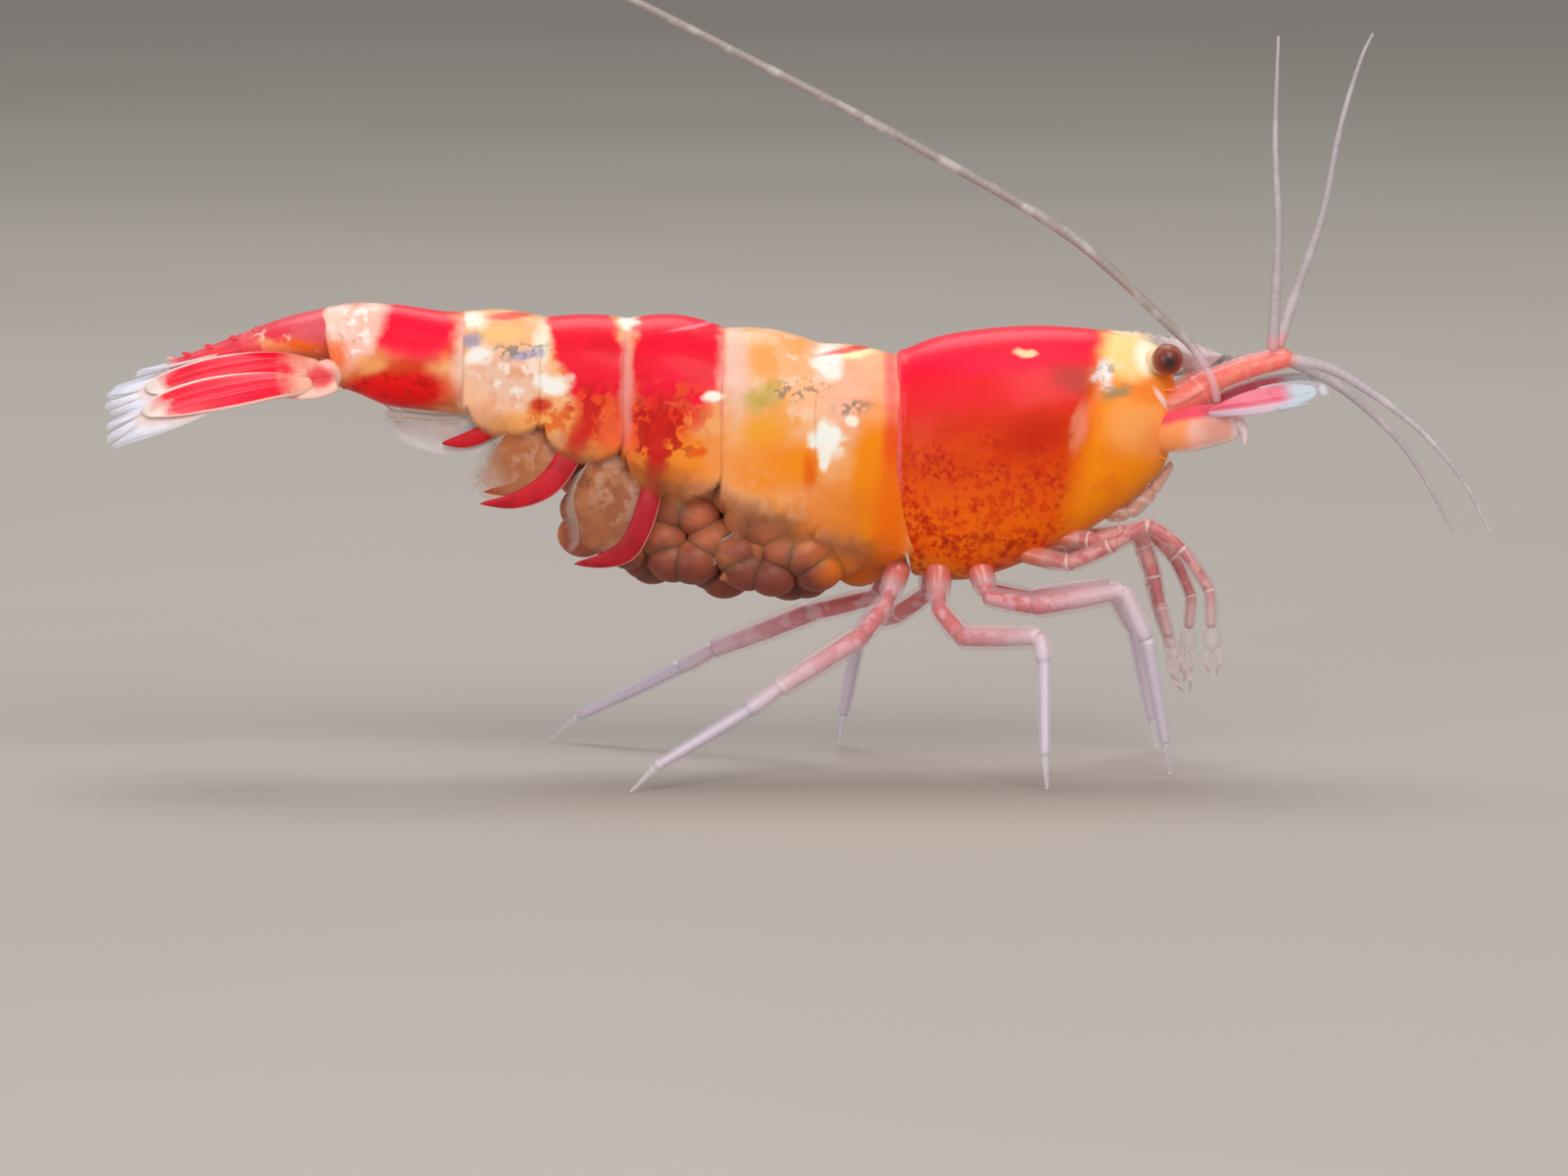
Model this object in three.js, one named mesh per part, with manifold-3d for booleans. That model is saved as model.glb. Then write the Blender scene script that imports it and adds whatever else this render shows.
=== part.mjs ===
// A berried dwarf shrimp (Caridina, red and white bee form) standing on its walking legs, at life size.
// Millimetres. +X runs to the head, +Y to the animal's left, +Z up. The origin is on the floor, under the
// middle of the animal's box. Lengths below are measured from the rear edge of the carapace and the floor.
import * as THREE from "three";
import { mergeVertices } from "three/addons/utils/BufferGeometryUtils.js";
import Module from "manifold-3d";

// ---- Driving dimensions -------------------------------------------------------------------------------
const GAP = 0.12; // clearance between pieces that touch on the animal
const FEELER_RADIUS = 0.25; // thinnest round feeler
const BLADE_HALF = 0.25; // half thickness of a fin, scale or swimmeret
const UPPER_FULLNESS = 0.92; // below 1, the sides of a trunk stand fuller than an ellipse's
const LOWER_FULLNESS = 0.72;

const CARAPACE = {
  rear: 0.06,
  front: 6.15,
  rearSlant: 0.35, // how far the rear edge leans forward at its lower corner
  rearSlantFrom: 6.8, // height below which it leans
  rearSlantOver: 2.4, // drop over which the lean grows
  rearSlantReach: 2, // length over which it dies out
  widestAt: 0.52, // share of the height at which the shell is widest
  top: [
    [0, 9.31], [0.9, 9.68], [1.95, 9.87], [3.05, 9.95], [4.1, 9.91], [4.8, 9.82], [5.7, 9.62],
    [6.15, 9.3],
  ],
  bottom: [[0, 4.4], [1.4, 4.25], [2.5, 4.5], [3.95, 5.25], [5.2, 6.0], [5.9, 6.6], [6.15, 6.95]],
  halfWidth: [[0, 1.6], [1.5, 1.78], [3, 1.8], [4.5, 1.52], [5.5, 1.18], [6.15, 0.85]],
};
const ROSTRUM = {
  root: 5.0,
  tip: 7.3,
  halfHeight: [0.34, 0.26, 0.1],
  level: [9.36, 9.47, 9.33],
  halfThick: [0.22, 0.12],
};

const EYE = { x: 6.12, y: 1.0, z: 9.28, radius: 0.37 };
const EYESTALK = { root: [5.7, 0.3, 9.1], radius: [0.24, 0.3] };

// Each ring of the abdomen: front and rear joint, hump of the back between them, lower edge of its side
// plate (pleuron), floor of its flesh, and half width.
const SOMITES = [
  { name: "abdomen_1", front: 0, rear: -1.65, hump: 0.08, plate: 5.55, flesh: 7.1, half: 1.55 },
  { name: "abdomen_2", front: -1.65, rear: -3.75, hump: 0.13, plate: 5.2, flesh: 7.1, half: 1.62 },
  { name: "abdomen_3", front: -3.75, rear: -5.95, hump: 0.17, plate: 6.65, flesh: 7.3, half: 1.52 },
  { name: "abdomen_4", front: -5.95, rear: -7.8, hump: 0.07, plate: 7.35, flesh: 7.6, half: 1.38 },
  { name: "abdomen_5", front: -7.8, rear: -9.5, hump: 0.1, plate: 7.55, flesh: 7.85, half: 1.2 },
];
const JOINT_HEIGHTS = [[0, 9.31], [-1.65, 9.56], [-3.75, 9.9], [-5.95, 10.12], [-7.8, 10.15], [-9.5, 10.28]];
const PLATE_THICK = 0.5;
const RING_SHOULDER = 0.5; // share of a ring's height at which it is widest
const RING_FOOT_WIDTH = 0.84; // width of a ring over the lower edges of its plates, as a share of the widest
const RING_SWELL = 0.04; // how far a plate bulges outward between its widest level and its foot
const RING_INNER_DROP = 0.85; // height of a plate's inner corner, as a share of the flesh's
const RING_ARC_STEPS = 10;
const TAIL_SOMITE = {
  front: -9.5,
  rear: -12.78,
  rearSlant: 0.4, // the lower rear corner stands this much further forward
  rearSlantFrom: 10.2,
  rearSlantOver: 1.8,
  rearSlantReach: 1.5,
  top: [[-12.78, 10.32], [-12.2, 10.46], [-11.1, 10.42], [-10.1, 10.28], [-9.5, 10.26]],
  bottom: [[-12.78, 8.6], [-12.2, 8.42], [-11.4, 8.18], [-10.1, 8.02], [-9.5, 7.95]],
  halfWidth: [[-12.78, 0.72], [-11, 0.95], [-9.5, 1.12]],
};

const TELSON = {
  spine: [[-12.5, 0, 9.72], [-13.6, 0, 9.62], [-14.6, 0, 9.42], [-15.6, 0, 9.2], [-16.2, 0, 9.04]],
  halfWidth: [0.62, 0.6, 0.48, 0.36, 0.22],
  halfThick: [0.55, 0.42, 0.27, 0.25, 0.25],
};
const UROPOD_STEM = {
  path: [[-12.1, -0.42, 8.75], [-12.7, -0.66, 8.72], [-13.1, -0.8, 8.64]],
  radius: [0.4, 0.4, 0.3],
};
const ENDOPOD = {
  spine: [
    [-13.1, -0.64, 8.88], [-13.9, -0.76, 8.94], [-15.2, -0.92, 8.8], [-16.6, -1.0, 8.48],
    [-17.55, -1.04, 8.24],
  ],
  halfWidth: [0.22, 0.46, 0.54, 0.48, 0.16],
  across: [0, 0.9, 0.42],
};
const EXOPOD = {
  spine: [
    [-13.2, -1.1, 8.46], [-13.9, -1.4, 8.46], [-15.2, -1.8, 8.28], [-16.6, -2.06, 7.88],
    [-17.5, -2.16, 7.58],
  ],
  halfWidth: [0.22, 0.48, 0.62, 0.58, 0.2],
  across: [0, 0.8, 0.6],
};

// Tail fins, feelers, mouth parts and swimmerets are given for the right side (y below zero) and mirrored,
// except where both sides are listed.
const ANTENNULE_STEM = {
  path: [[5.8, -0.5, 8.1], [6.5, -0.48, 8.32], [7.1, -0.38, 8.68], [7.95, -0.36, 9.02], [8.95, -0.38, 9.27]],
  radius: [0.4, 0.38, 0.27, 0.25, 0.25],
};
const ANTENNULE_FEELERS = {
  antennule_outer_right: [
    [8.45, -0.5, 9.55], [8.5, -0.62, 10.4], [8.56, -0.8, 12.2], [8.47, -1.0, 14.2], [8.52, -1.2, 16.5],
  ],
  antennule_outer_left: [
    [8.62, 0.5, 9.55], [9.0, 0.6, 10.6], [9.62, 0.75, 12.4], [10.0, 0.85, 14.3], [10.45, 1.0, 15.8],
    [10.75, 1.1, 16.45],
  ],
  antennule_inner_right: [
    [9.12, -0.4, 9.25], [9.7, -0.5, 9.05], [10.6, -0.62, 8.55], [11.55, -0.75, 7.85],
    [12.25, -0.85, 7.15], [12.8, -0.92, 6.4], [13.35, -1.0, 5.35],
  ],
  antennule_inner_left: [
    [9.12, 0.4, 9.2], [9.9, 0.5, 8.62], [10.75, 0.62, 7.92], [11.4, 0.75, 7.25], [11.85, 0.82, 6.6],
    [12.25, 0.88, 5.9], [12.6, 0.92, 5.2],
  ],
};
const ANTENNA_BASE = {
  path: [[5.9, -0.8, 7.5], [6.5, -1.0, 7.6], [7.2, -1.12, 7.74], [7.75, -1.2, 7.82]],
  radius: [0.42, 0.42, 0.36, 0.16],
};
const ANTENNA_STEM = {
  path: [[6.75, -1.0, 7.75], [7.1, -0.98, 7.98], [7.25, -0.96, 8.2]],
  radius: [0.3, 0.28, 0.26],
};
const ANTENNA_SCALE = {
  spine: [[6.55, -1.5, 8.12], [7.2, -1.66, 8.3], [8.2, -1.7, 8.45], [9.0, -1.66, 8.55], [9.4, -1.6, 8.6]],
  halfWidth: [0.22, 0.44, 0.5, 0.4, 0.16],
  across: [0, 0.82, 0.57],
};
const ANTENNAE = {
  antenna_right: [
    [7.22, -0.97, 8.36], [7.08, -0.96, 8.85], [6.66, -0.62, 9.52], [6.15, -0.59, 10.0], [3.94, -0.75, 12.0],
    [0.7, -0.95, 13.92], [-2.95, -1.2, 15.85], [-7.2, -1.55, 17.95], [-11.2, -2.0, 19.4], [-15.2, -2.4, 20.2],
  ],
  antenna_left: [
    [7.22, 0.97, 8.36], [7.45, 1.2, 8.88], [7.55, 1.9, 9.05], [7.2, 2.8, 8.85], [5.8, 3.7, 8.55],
    [2.4, 4.5, 8.35], [-2.5, 4.65, 8.25], [-7.5, 4.15, 8.55], [-11.8, 3.4, 8.9], [-15.6, 2.6, 9.0],
  ],
};
const MAXILLIPED = {
  path: [[4.7, -0.33, 5.75], [5.3, -0.32, 5.78], [5.95, -0.32, 6.3], [6.42, -0.32, 6.9]],
  radius: [0.27, 0.27, 0.26, 0.25],
};

// Legs from hip to tip. The first two pairs end in small claws; the last three stand on the floor.
const CLAW_LEGS = {
  leg_1_right: [
    [3.6, -0.6, 5.3], [4.5, -0.85, 5.2], [5.4, -1.0, 5.42], [5.75, -1.1, 4.7], [5.93, -1.15, 3.85],
    [6.15, -1.15, 3.05],
  ],
  leg_1_left: [
    [3.6, 0.6, 5.3], [4.5, 0.85, 5.16], [5.45, 1.0, 5.2], [5.8, 1.15, 4.3], [6.0, 1.2, 3.4],
    [6.3, 1.1, 2.55],
  ],
  leg_2_right: [
    [2.8, -0.75, 4.95], [3.9, -1.25, 4.75], [4.8, -1.55, 5.15], [5.65, -1.75, 5.62], [6.4, -1.86, 5.1],
    [7.0, -1.96, 4.2], [7.05, -1.95, 3.35],
  ],
  leg_2_left: [
    [2.8, 0.75, 4.95], [3.8, 1.25, 4.7], [4.9, 1.7, 4.95], [5.7, 1.9, 5.15], [6.35, 2.05, 4.55],
    [6.75, 2.1, 3.65], [6.7, 2.0, 2.9],
  ],
};
const CLAW_LEG = { radius: 0.25, palmRadius: 0.24, fingerRadius: 0.18, tipRadius: 0.083 };
const CLAW = { fork: 0.15, palmLength: 0.5, fingerLength: 0.5, fingerSpread: 0.15 };
const WALKING_LEGS = {
  leg_3_right: [
    [1.85, -0.75, 4.8], [2.1, -1.05, 3.95], [3.15, -1.65, 3.82], [5.1, -2.4, 4.25], [5.62, -2.4, 3.1],
    [6.05, -1.95, 0.75], [6.15, -1.6, 0],
  ],
  leg_3_left: [
    [1.85, 0.75, 4.8], [2.1, 1.05, 3.9], [3.1, 1.7, 3.6], [4.95, 2.5, 3.8], [5.5, 2.75, 2.8],
    [5.92, 3.0, 0.7], [6.02, 3.05, 0],
  ],
  leg_4_right: [
    [1.0, -0.75, 4.8], [0.98, -1.1, 3.72], [1.5, -1.85, 3.15], [3.22, -3.05, 3.28], [3.3, -3.35, 2.7],
    [3.3, -4.15, 0.75], [3.34, -4.4, 0],
  ],
  leg_4_left: [
    [1.0, 0.75, 4.8], [0.75, 1.1, 3.8], [0.1, 1.95, 3.25], [-0.55, 3.15, 3.0], [-0.8, 3.4, 2.4],
    [-1.12, 3.9, 0.7], [-1.2, 4.05, 0],
  ],
  leg_5_right: [
    [0.15, -0.7, 4.8], [-0.15, -0.95, 3.85], [-0.75, -1.7, 3.15], [-2.62, -3.0, 2.1], [-3.3, -3.4, 1.65],
    [-5.3, -4.5, 0.55], [-5.85, -4.8, 0],
  ],
  leg_5_left: [
    [0.15, 0.7, 4.8], [-0.4, 1.0, 3.75], [-1.87, 1.8, 3.3], [-4.1, 3.1, 2.3], [-4.85, 3.5, 1.85],
    [-7.2, 4.6, 0.6], [-7.82, 4.9, 0],
  ],
};
const WALKING_LEG_RADIUS = [0.33, 0.33, 0.31, 0.28, 0.27, 0.25, 0.25];

// Swimmerets: root to tip, with half width of the blade, for the right side.
const SWIMMERETS = {
  swimmeret_1: {
    spine: [[-0.75, -1.3, 5.6], [-0.85, -1.28, 5.2], [-1.0, -1.22, 4.85], [-1.25, -1.15, 4.5]],
    half: [0.26, 0.28, 0.26, 0.16],
  },
  swimmeret_2: {
    spine: [[-2.95, -1.42, 5.35], [-3.1, -1.5, 4.95], [-3.45, -1.5, 4.55], [-4.0, -1.45, 4.25]],
    half: [0.34, 0.38, 0.32, 0.16],
  },
  swimmeret_3: {
    spine: [
      [-5.2, -1.3, 6.8], [-5.5, -1.48, 6.0], [-5.85, -1.52, 5.3], [-6.35, -1.5, 4.9], [-7.1, -1.42, 4.76],
    ],
    half: [0.5, 0.52, 0.44, 0.32, 0.12],
  },
  swimmeret_4: {
    spine: [
      [-7.0, -1.15, 7.6], [-7.25, -1.35, 6.95], [-7.75, -1.4, 6.42], [-8.4, -1.36, 6.16], [-9.2, -1.28, 6.08],
    ],
    half: [0.5, 0.5, 0.42, 0.3, 0.12],
  },
  swimmeret_5: {
    spine: [
      [-8.5, -0.75, 7.8], [-9.2, -0.8, 7.52], [-10.1, -0.78, 7.5], [-10.9, -0.7, 7.72], [-11.45, -0.62, 7.95],
    ],
    half: [0.2, 0.3, 0.3, 0.22, 0.1],
  },
};

// The clutch of eggs: egg radius, spacing along and across, and its underside along the body.
const EGG = { radius: 0.62, stepX: 1.08, stepZ: 0.9, rear: -6.9, front: -1.0, innerColumn: 0.4 };
const EGG_STAGGER = [-0.1, 0.14]; // shift along the body of the outer eggs, in even and odd rows
const EGG_SIDE_RISE = 0.2; // the outer eggs of the lowest layer sit this much higher
const CLUTCH_CORE = { ahead: 0.1, halfWidth: 0.86 };
const CLUTCH_BOTTOM = [
  [-7.3, 5.3], [-6.6, 4.65], [-5.6, 4.15], [-4.5, 4.0], [-3.4, 3.78], [-2.4, 3.72], [-1.5, 3.85],
  [-0.7, 4.3],
];
const CLUTCH_TOP = [[-7.3, 6.8], [-6, 6.95], [-3, 6.9], [-0.7, 6.6]];
const EGG_CEILING = [
  [-7.3, 6.3], [-4.6, 6.0], [-3.9, 5.2], [-0.7, 5.2],
]; // above this the plates hide the eggs
const CLUTCH_COLUMN = [
  [-7.3, 0.3], [-5, 0.52], [-3.4, 0.7], [-2.1, 0.9], [-0.7, 0.45],
]; // middle of the outer row of eggs

// ---- Finishes -----------------------------------------------------------------------------------------
const finish = (color, roughness) => new THREE.MeshStandardMaterial({ color, roughness, metalness: 0 });
const RED_SHELL = finish(0xf0283a, 0.3);
const CREAM_SHELL = finish(0xf8c795, 0.32);
const ORANGE_SHELL = finish(0xd95318, 0.3);
const TAIL_FIN = finish(0xe6525f, 0.35);
const LEG_SKIN = finish(0xc890a0, 0.35);
const FEELER_SKIN = finish(0xa79c98, 0.4);
const SWIMMERET_SKIN = finish(0xb53636, 0.4);
const EYE_GLOSS = finish(0x4a1412, 0.12);
const EGG_SKIN = finish(0x8a4a32, 0.3);

// ---- Shape tools --------------------------------------------------------------------------------------
const WELD = 1e-4; // corners closer than this are one
const wasm = await Module();
wasm.setup();

// A smooth curve through [position, value] pairs, read as a function of position.
function through(pairs) {
  const keys = [...pairs].sort((a, b) => a[0] - b[0]);
  const slope = keys.map((key, i) => {
    const before = keys[Math.max(i - 1, 0)];
    const after = keys[Math.min(i + 1, keys.length - 1)];
    return (after[1] - before[1]) / (after[0] - before[0]);
  });
  return (x) => {
    const at = THREE.MathUtils.clamp(x, keys[0][0], keys[keys.length - 1][0]);
    const i = Math.max(keys.findIndex((key) => key[0] >= at) - 1, 0);
    const span = keys[i + 1][0] - keys[i][0];
    const t = (at - keys[i][0]) / span;
    const rise = (keys[i + 1][1] - keys[i][1]) * (3 * t * t - 2 * t * t * t);
    const lean = span * (slope[i] * t * (1 - t) * (1 - t) + slope[i + 1] * t * t * (t - 1));
    return keys[i][1] + rise + lean;
  };
}

// The value at share t of a list of evenly spaced values.
function blend(values, t) {
  const place = t * (values.length - 1);
  const i = Math.min(Math.floor(place), values.length - 2);
  return THREE.MathUtils.lerp(values[i], values[i + 1], place - i);
}

// A closed geometry as a solid, turned right side out.
function solidOf(geometry) {
  const bare = geometry.clone();
  bare.deleteAttribute("normal");
  bare.deleteAttribute("uv");
  const merged = mergeVertices(bare, WELD);
  const vertProperties = merged.getAttribute("position").array;
  const triVerts = new Uint32Array(merged.index.array);
  const make = () => new wasm.Manifold(new wasm.Mesh({ numProp: 3, vertProperties, triVerts }));
  const made = make();
  if (made.volume() > 0) return made;
  for (let i = 0; i < triVerts.length; i += 3) {
    [triVerts[i + 1], triVerts[i + 2]] = [triVerts[i + 2], triVerts[i + 1]];
  }
  return make();
}

// A solid as a geometry to show.
function geometryOf(solid) {
  const { vertProperties, triVerts } = solid.getMesh();
  const geometry = new THREE.BufferGeometry();
  geometry.setAttribute("position", new THREE.BufferAttribute(vertProperties, 3));
  geometry.setIndex(new THREE.BufferAttribute(triVerts, 1));
  geometry.computeVertexNormals();
  return geometry;
}

// A capped cylinder reshaped: place(share along, angle, share out from the axis) gives each corner.
function loft(stations, sides, place) {
  const geometry = new THREE.CylinderGeometry(1, 1, 1, sides, stations, false);
  const position = geometry.getAttribute("position");
  for (let i = 0; i < position.count; i += 1) {
    const x = position.getX(i);
    const z = position.getZ(i);
    const out = Math.min(Math.hypot(x, z), 1);
    const point = place(0.5 - position.getY(i), Math.atan2(x, z), out);
    position.setXYZ(i, point.x, point.y, point.z);
  }
  return solidOf(geometry);
}

const vectors = (points) => points.map(([x, y, z]) => new THREE.Vector3(x, y, z));

// A round limb through its joints; with a foot, its end is cut level with the floor.
function limb(points, radii, { sides = 8, perSegment = 3, foot = false, tension = 0.35 } = {}) {
  const curve = new THREE.CatmullRomCurve3(vectors(points), false, "catmullrom", tension);
  const stations = (points.length - 1) * perSegment;
  const frames = [];
  let normal = new THREE.Vector3(0, 1, 0);
  for (let i = 0; i <= stations; i += 1) {
    const tangent = curve.getTangent(i / stations);
    normal = normal.clone().addScaledVector(tangent, -normal.dot(tangent)).normalize();
    const side = tangent.clone().cross(normal);
    frames.push({ centre: curve.getPoint(i / stations), tangent, normal, side });
  }
  return loft(stations, sides, (t, angle, out) => {
    const frame = frames[Math.round(t * stations)];
    const radius = blend(radii, t) * out;
    const point = frame.centre.clone();
    point.addScaledVector(frame.normal, radius * Math.cos(angle));
    point.addScaledVector(frame.side, radius * Math.sin(angle));
    if (foot && t > 1 - 0.5 / stations) point.addScaledVector(frame.tangent, -point.z / frame.tangent.z);
    return point;
  });
}

// A blade along a spine: wide along `across`, thin the other way, with rounded edges.
function blade(spine, halfWidth, across, detail = {}) {
  const { halfThick = [BLADE_HALF, BLADE_HALF], sides = 10, stations = 8 } = detail;
  const curve = new THREE.CatmullRomCurve3(vectors(spine));
  const wide = new THREE.Vector3(...across);
  return loft(stations, sides, (t, angle, out) => {
    const tangent = curve.getTangent(t);
    const u = wide.clone().addScaledVector(tangent, -wide.dot(tangent)).normalize();
    const v = tangent.clone().cross(u);
    const point = curve.getPoint(t);
    point.addScaledVector(u, blend(halfWidth, t) * Math.cos(angle) * out);
    point.addScaledVector(v, blend(halfThick, t) * Math.sin(angle) * out);
    return point;
  });
}

function ball(x, y, z, radius, sides = 9, rings = 7) {
  return solidOf(new THREE.SphereGeometry(radius, sides, rings)).translate(x, y, z);
}

// The largest of the separate bodies that a cut leaves.
function largest(solid) {
  return solid.decompose().reduce((most, body) => (body.volume() > most.volume() ? body : most));
}

function boxesMeet(a, b) {
  const [one, two] = [a.boundingBox(), b.boundingBox()];
  return [0, 1, 2].every((k) => one.min[k] < two.max[k] + GAP && two.min[k] < one.max[k] + GAP);
}

// What is left of a piece once its neighbours, each nudged every way by the gap, are taken out of it.
const NUDGES = [[0, 0, 0], [1, 0, 0], [-1, 0, 0], [0, 1, 0], [0, -1, 0], [0, 0, 1], [0, 0, -1]];
function clearOf(piece, neighbours) {
  const near = (neighbour) => boxesMeet(piece, neighbour) && piece.minGap(neighbour, GAP) < GAP;
  const spread = (cutter) => NUDGES.map((nudge) => cutter.translate(nudge.map((way) => way * GAP)));
  const nudged = neighbours.filter(near).flatMap(spread);
  return nudged.length ? largest(nudged.reduce((left, cutter) => left.subtract(cutter), piece)) : piece;
}

const SIDES = [{ side: "right", sign: -1 }, { side: "left", sign: 1 }];
// Points given for the right side, on the side asked for.
const onSide = (points, sign) => points.map(([x, y, z]) => [x, -sign * y, z]);

// ---- Body ---------------------------------------------------------------------------------------------
// A length of body between two positions, from its top, bottom and half width along X. Below its widest
// level the sides stay fuller, as the side plates hang nearly straight.
function trunk({ front, rear, top, bottom, halfWidth, slant = () => 0, stations, sides, widestAt = 0.5 }) {
  return loft(stations, sides, (t, angle, out) => {
    const x = THREE.MathUtils.lerp(front, rear, t);
    const high = top(x);
    const low = bottom(x);
    const level = low + (high - low) * widestAt;
    const rise = Math.cos(angle);
    const lower = rise < 0;
    const fullness = lower ? LOWER_FULLNESS : UPPER_FULLNESS;
    const spread = Math.sign(Math.sin(angle)) * Math.abs(Math.sin(angle)) ** fullness;
    const z = level + rise * out * (lower ? level - low : high - level);
    return new THREE.Vector3(x + slant(x, z), spread * halfWidth(x) * out, z);
  });
}

// How far a trunk's lower rear corner leans forward at a place.
function rearLean({ rearSlant, rearSlantFrom, rearSlantOver, rearSlantReach }, rear) {
  return (x, z) => {
    const low = THREE.MathUtils.clamp((rearSlantFrom - z) / rearSlantOver, 0, 1);
    const nearRear = THREE.MathUtils.clamp(1 - (x - rear) / rearSlantReach, 0, 1);
    return rearSlant * low * nearRear;
  };
}

function carapaceShell() {
  const shell = trunk({
    front: CARAPACE.front,
    rear: CARAPACE.rear,
    top: through(CARAPACE.top),
    bottom: through(CARAPACE.bottom),
    halfWidth: through(CARAPACE.halfWidth),
    slant: rearLean(CARAPACE, 0),
    stations: 11,
    sides: 18,
    widestAt: CARAPACE.widestAt,
  });
  const middle = (ROSTRUM.root + ROSTRUM.tip) / 2;
  const spine = [ROSTRUM.root, middle, ROSTRUM.tip].map((x, i) => [x, 0, ROSTRUM.level[i]]);
  const detail = { halfThick: ROSTRUM.halfThick, sides: 8, stations: 5 };
  const rostrum = blade(spine, ROSTRUM.halfHeight, [0, 0, 1], detail);
  return shell.add(rostrum);
}

function eyeball(sign, spare = 0) {
  return ball(EYE.x, sign * EYE.y, EYE.z, EYE.radius + spare);
}

function eyestalk(sign, spare = 0) {
  const [x, y, z] = EYESTALK.root;
  const path = [
    [x, sign * y, z], [(x + EYE.x) / 2, sign * (y + EYE.y) / 2, (z + EYE.z) / 2],
    [EYE.x, sign * EYE.y, EYE.z],
  ];
  return limb(path, EYESTALK.radius.map((radius) => radius + spare), { sides: 7, perSegment: 1 });
}

// The section of an abdomen ring, 1 wide either way and 1 high: a round back over two side plates, with
// the flesh between them ending higher up.
function ringSection(plateShare, fleshShare) {
  const outline = [];
  for (let i = 0; i <= RING_ARC_STEPS; i += 1) {
    const angle = -Math.PI / 2 + (Math.PI * i) / RING_ARC_STEPS;
    outline.push([Math.sin(angle), RING_SHOULDER + (1 - RING_SHOULDER) * Math.cos(angle)]);
  }
  outline.push([(1 + RING_FOOT_WIDTH) / 2 + RING_SWELL, RING_SHOULDER / 2]);
  outline.push([RING_FOOT_WIDTH, 0], [RING_FOOT_WIDTH - plateShare, 0]);
  outline.push([1 - plateShare - RING_SWELL, fleshShare * RING_INNER_DROP], [1 - 2 * plateShare, fleshShare]);
  const inner = outline.slice(RING_ARC_STEPS + 1).reverse().map(([y, z]) => [-y, z]);
  return new THREE.Shape([...outline, ...inner].map(([y, z]) => new THREE.Vector2(y, z)));
}

// A ring of the abdomen, with rounded side plates hanging past its flesh.
function somite({ front, rear, hump, plate, flesh, half }, index) {
  const STEPS = 3;
  const joints = through(JOINT_HEIGHTS);
  const nextHalf = index + 1 < SOMITES.length ? SOMITES[index + 1].half : TAIL_SOMITE.halfWidth[2][1];
  const corner = (flesh + plate) / 2;
  const middleTop = joints((front + rear) / 2) + hump;
  const section = ringSection(PLATE_THICK / half, (flesh - plate) / (middleTop - plate));
  const geometry = new THREE.ExtrudeGeometry(section, { depth: 1, steps: STEPS, bevelEnabled: false });
  const position = geometry.getAttribute("position");
  for (let i = 0; i < position.count; i += 1) {
    const share = position.getZ(i);
    const x = THREE.MathUtils.lerp(front - GAP / 2, rear + GAP / 2, share);
    const top = joints(x) + hump * Math.sin(Math.PI * share);
    const bottom = THREE.MathUtils.lerp(corner, plate, Math.sqrt(1 - (2 * share - 1) ** 2));
    const wide = THREE.MathUtils.lerp(half, (half + nextHalf) / 2, share);
    position.setXYZ(i, x, position.getX(i) * wide, THREE.MathUtils.lerp(bottom, top, position.getY(i)));
  }
  return solidOf(geometry);
}

function tailSomite() {
  return trunk({
    front: TAIL_SOMITE.front - GAP / 2,
    rear: TAIL_SOMITE.rear,
    top: through(TAIL_SOMITE.top),
    bottom: through(TAIL_SOMITE.bottom),
    halfWidth: through(TAIL_SOMITE.halfWidth),
    slant: rearLean(TAIL_SOMITE, TAIL_SOMITE.rear),
    stations: 6,
    sides: 14,
  });
}

// ---- Tail fan -----------------------------------------------------------------------------------------
function telson() {
  const { spine, halfWidth, halfThick } = TELSON;
  return blade(spine, halfWidth, [0, 1, 0], { halfThick, stations: 8, sides: 10 });
}

// A blade given for the right side, on the side asked for.
function sideBlade({ spine, halfWidth, across }, sign, stations = 7) {
  const [wide] = onSide([across], sign);
  return blade(onSide(spine, sign), halfWidth, wide, { stations, sides: 8 });
}

// ---- Eggs ---------------------------------------------------------------------------------------------
// Eggs packed in staggered rows inside the clutch's outline, on a core that joins them to the belly. The
// lowest eggs bulge past the side plates, and those above them lie between the plates.
function eggClutch() {
  const bottom = through(CLUTCH_BOTTOM);
  const top = through(CLUTCH_TOP);
  const column = through(CLUTCH_COLUMN);
  const ceiling = through(EGG_CEILING);
  const egg = solidOf(new THREE.OctahedronGeometry(EGG.radius, 1));
  const core = trunk({
    front: EGG.front + CLUTCH_CORE.ahead,
    rear: EGG.rear,
    top,
    bottom: (x) => bottom(x) + EGG.radius,
    halfWidth: () => CLUTCH_CORE.halfWidth,
    stations: 4,
    sides: 8,
  });
  const eggs = [core];
  const rows = Math.floor((EGG.front - EGG.rear) / EGG.stepX) + 1;
  for (let row = 0; row < rows; row += 1) {
    const x = EGG.front - row * EGG.stepX;
    const stagger = EGG_STAGGER[row % 2];
    const lowest = bottom(x) + EGG.radius;
    [-1, 0, 1].forEach((way) => {
      eggs.push(egg.translate(x + stagger * way, way * column(x), lowest + EGG_SIDE_RISE * Math.abs(way)));
    });
    for (let z = lowest + EGG.stepZ; z < ceiling(x); z += EGG.stepZ) {
      [-1, 1].forEach((way) => eggs.push(egg.translate(x - stagger * way, way * EGG.innerColumn, z)));
    }
  }
  return wasm.Manifold.union(eggs);
}

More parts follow.
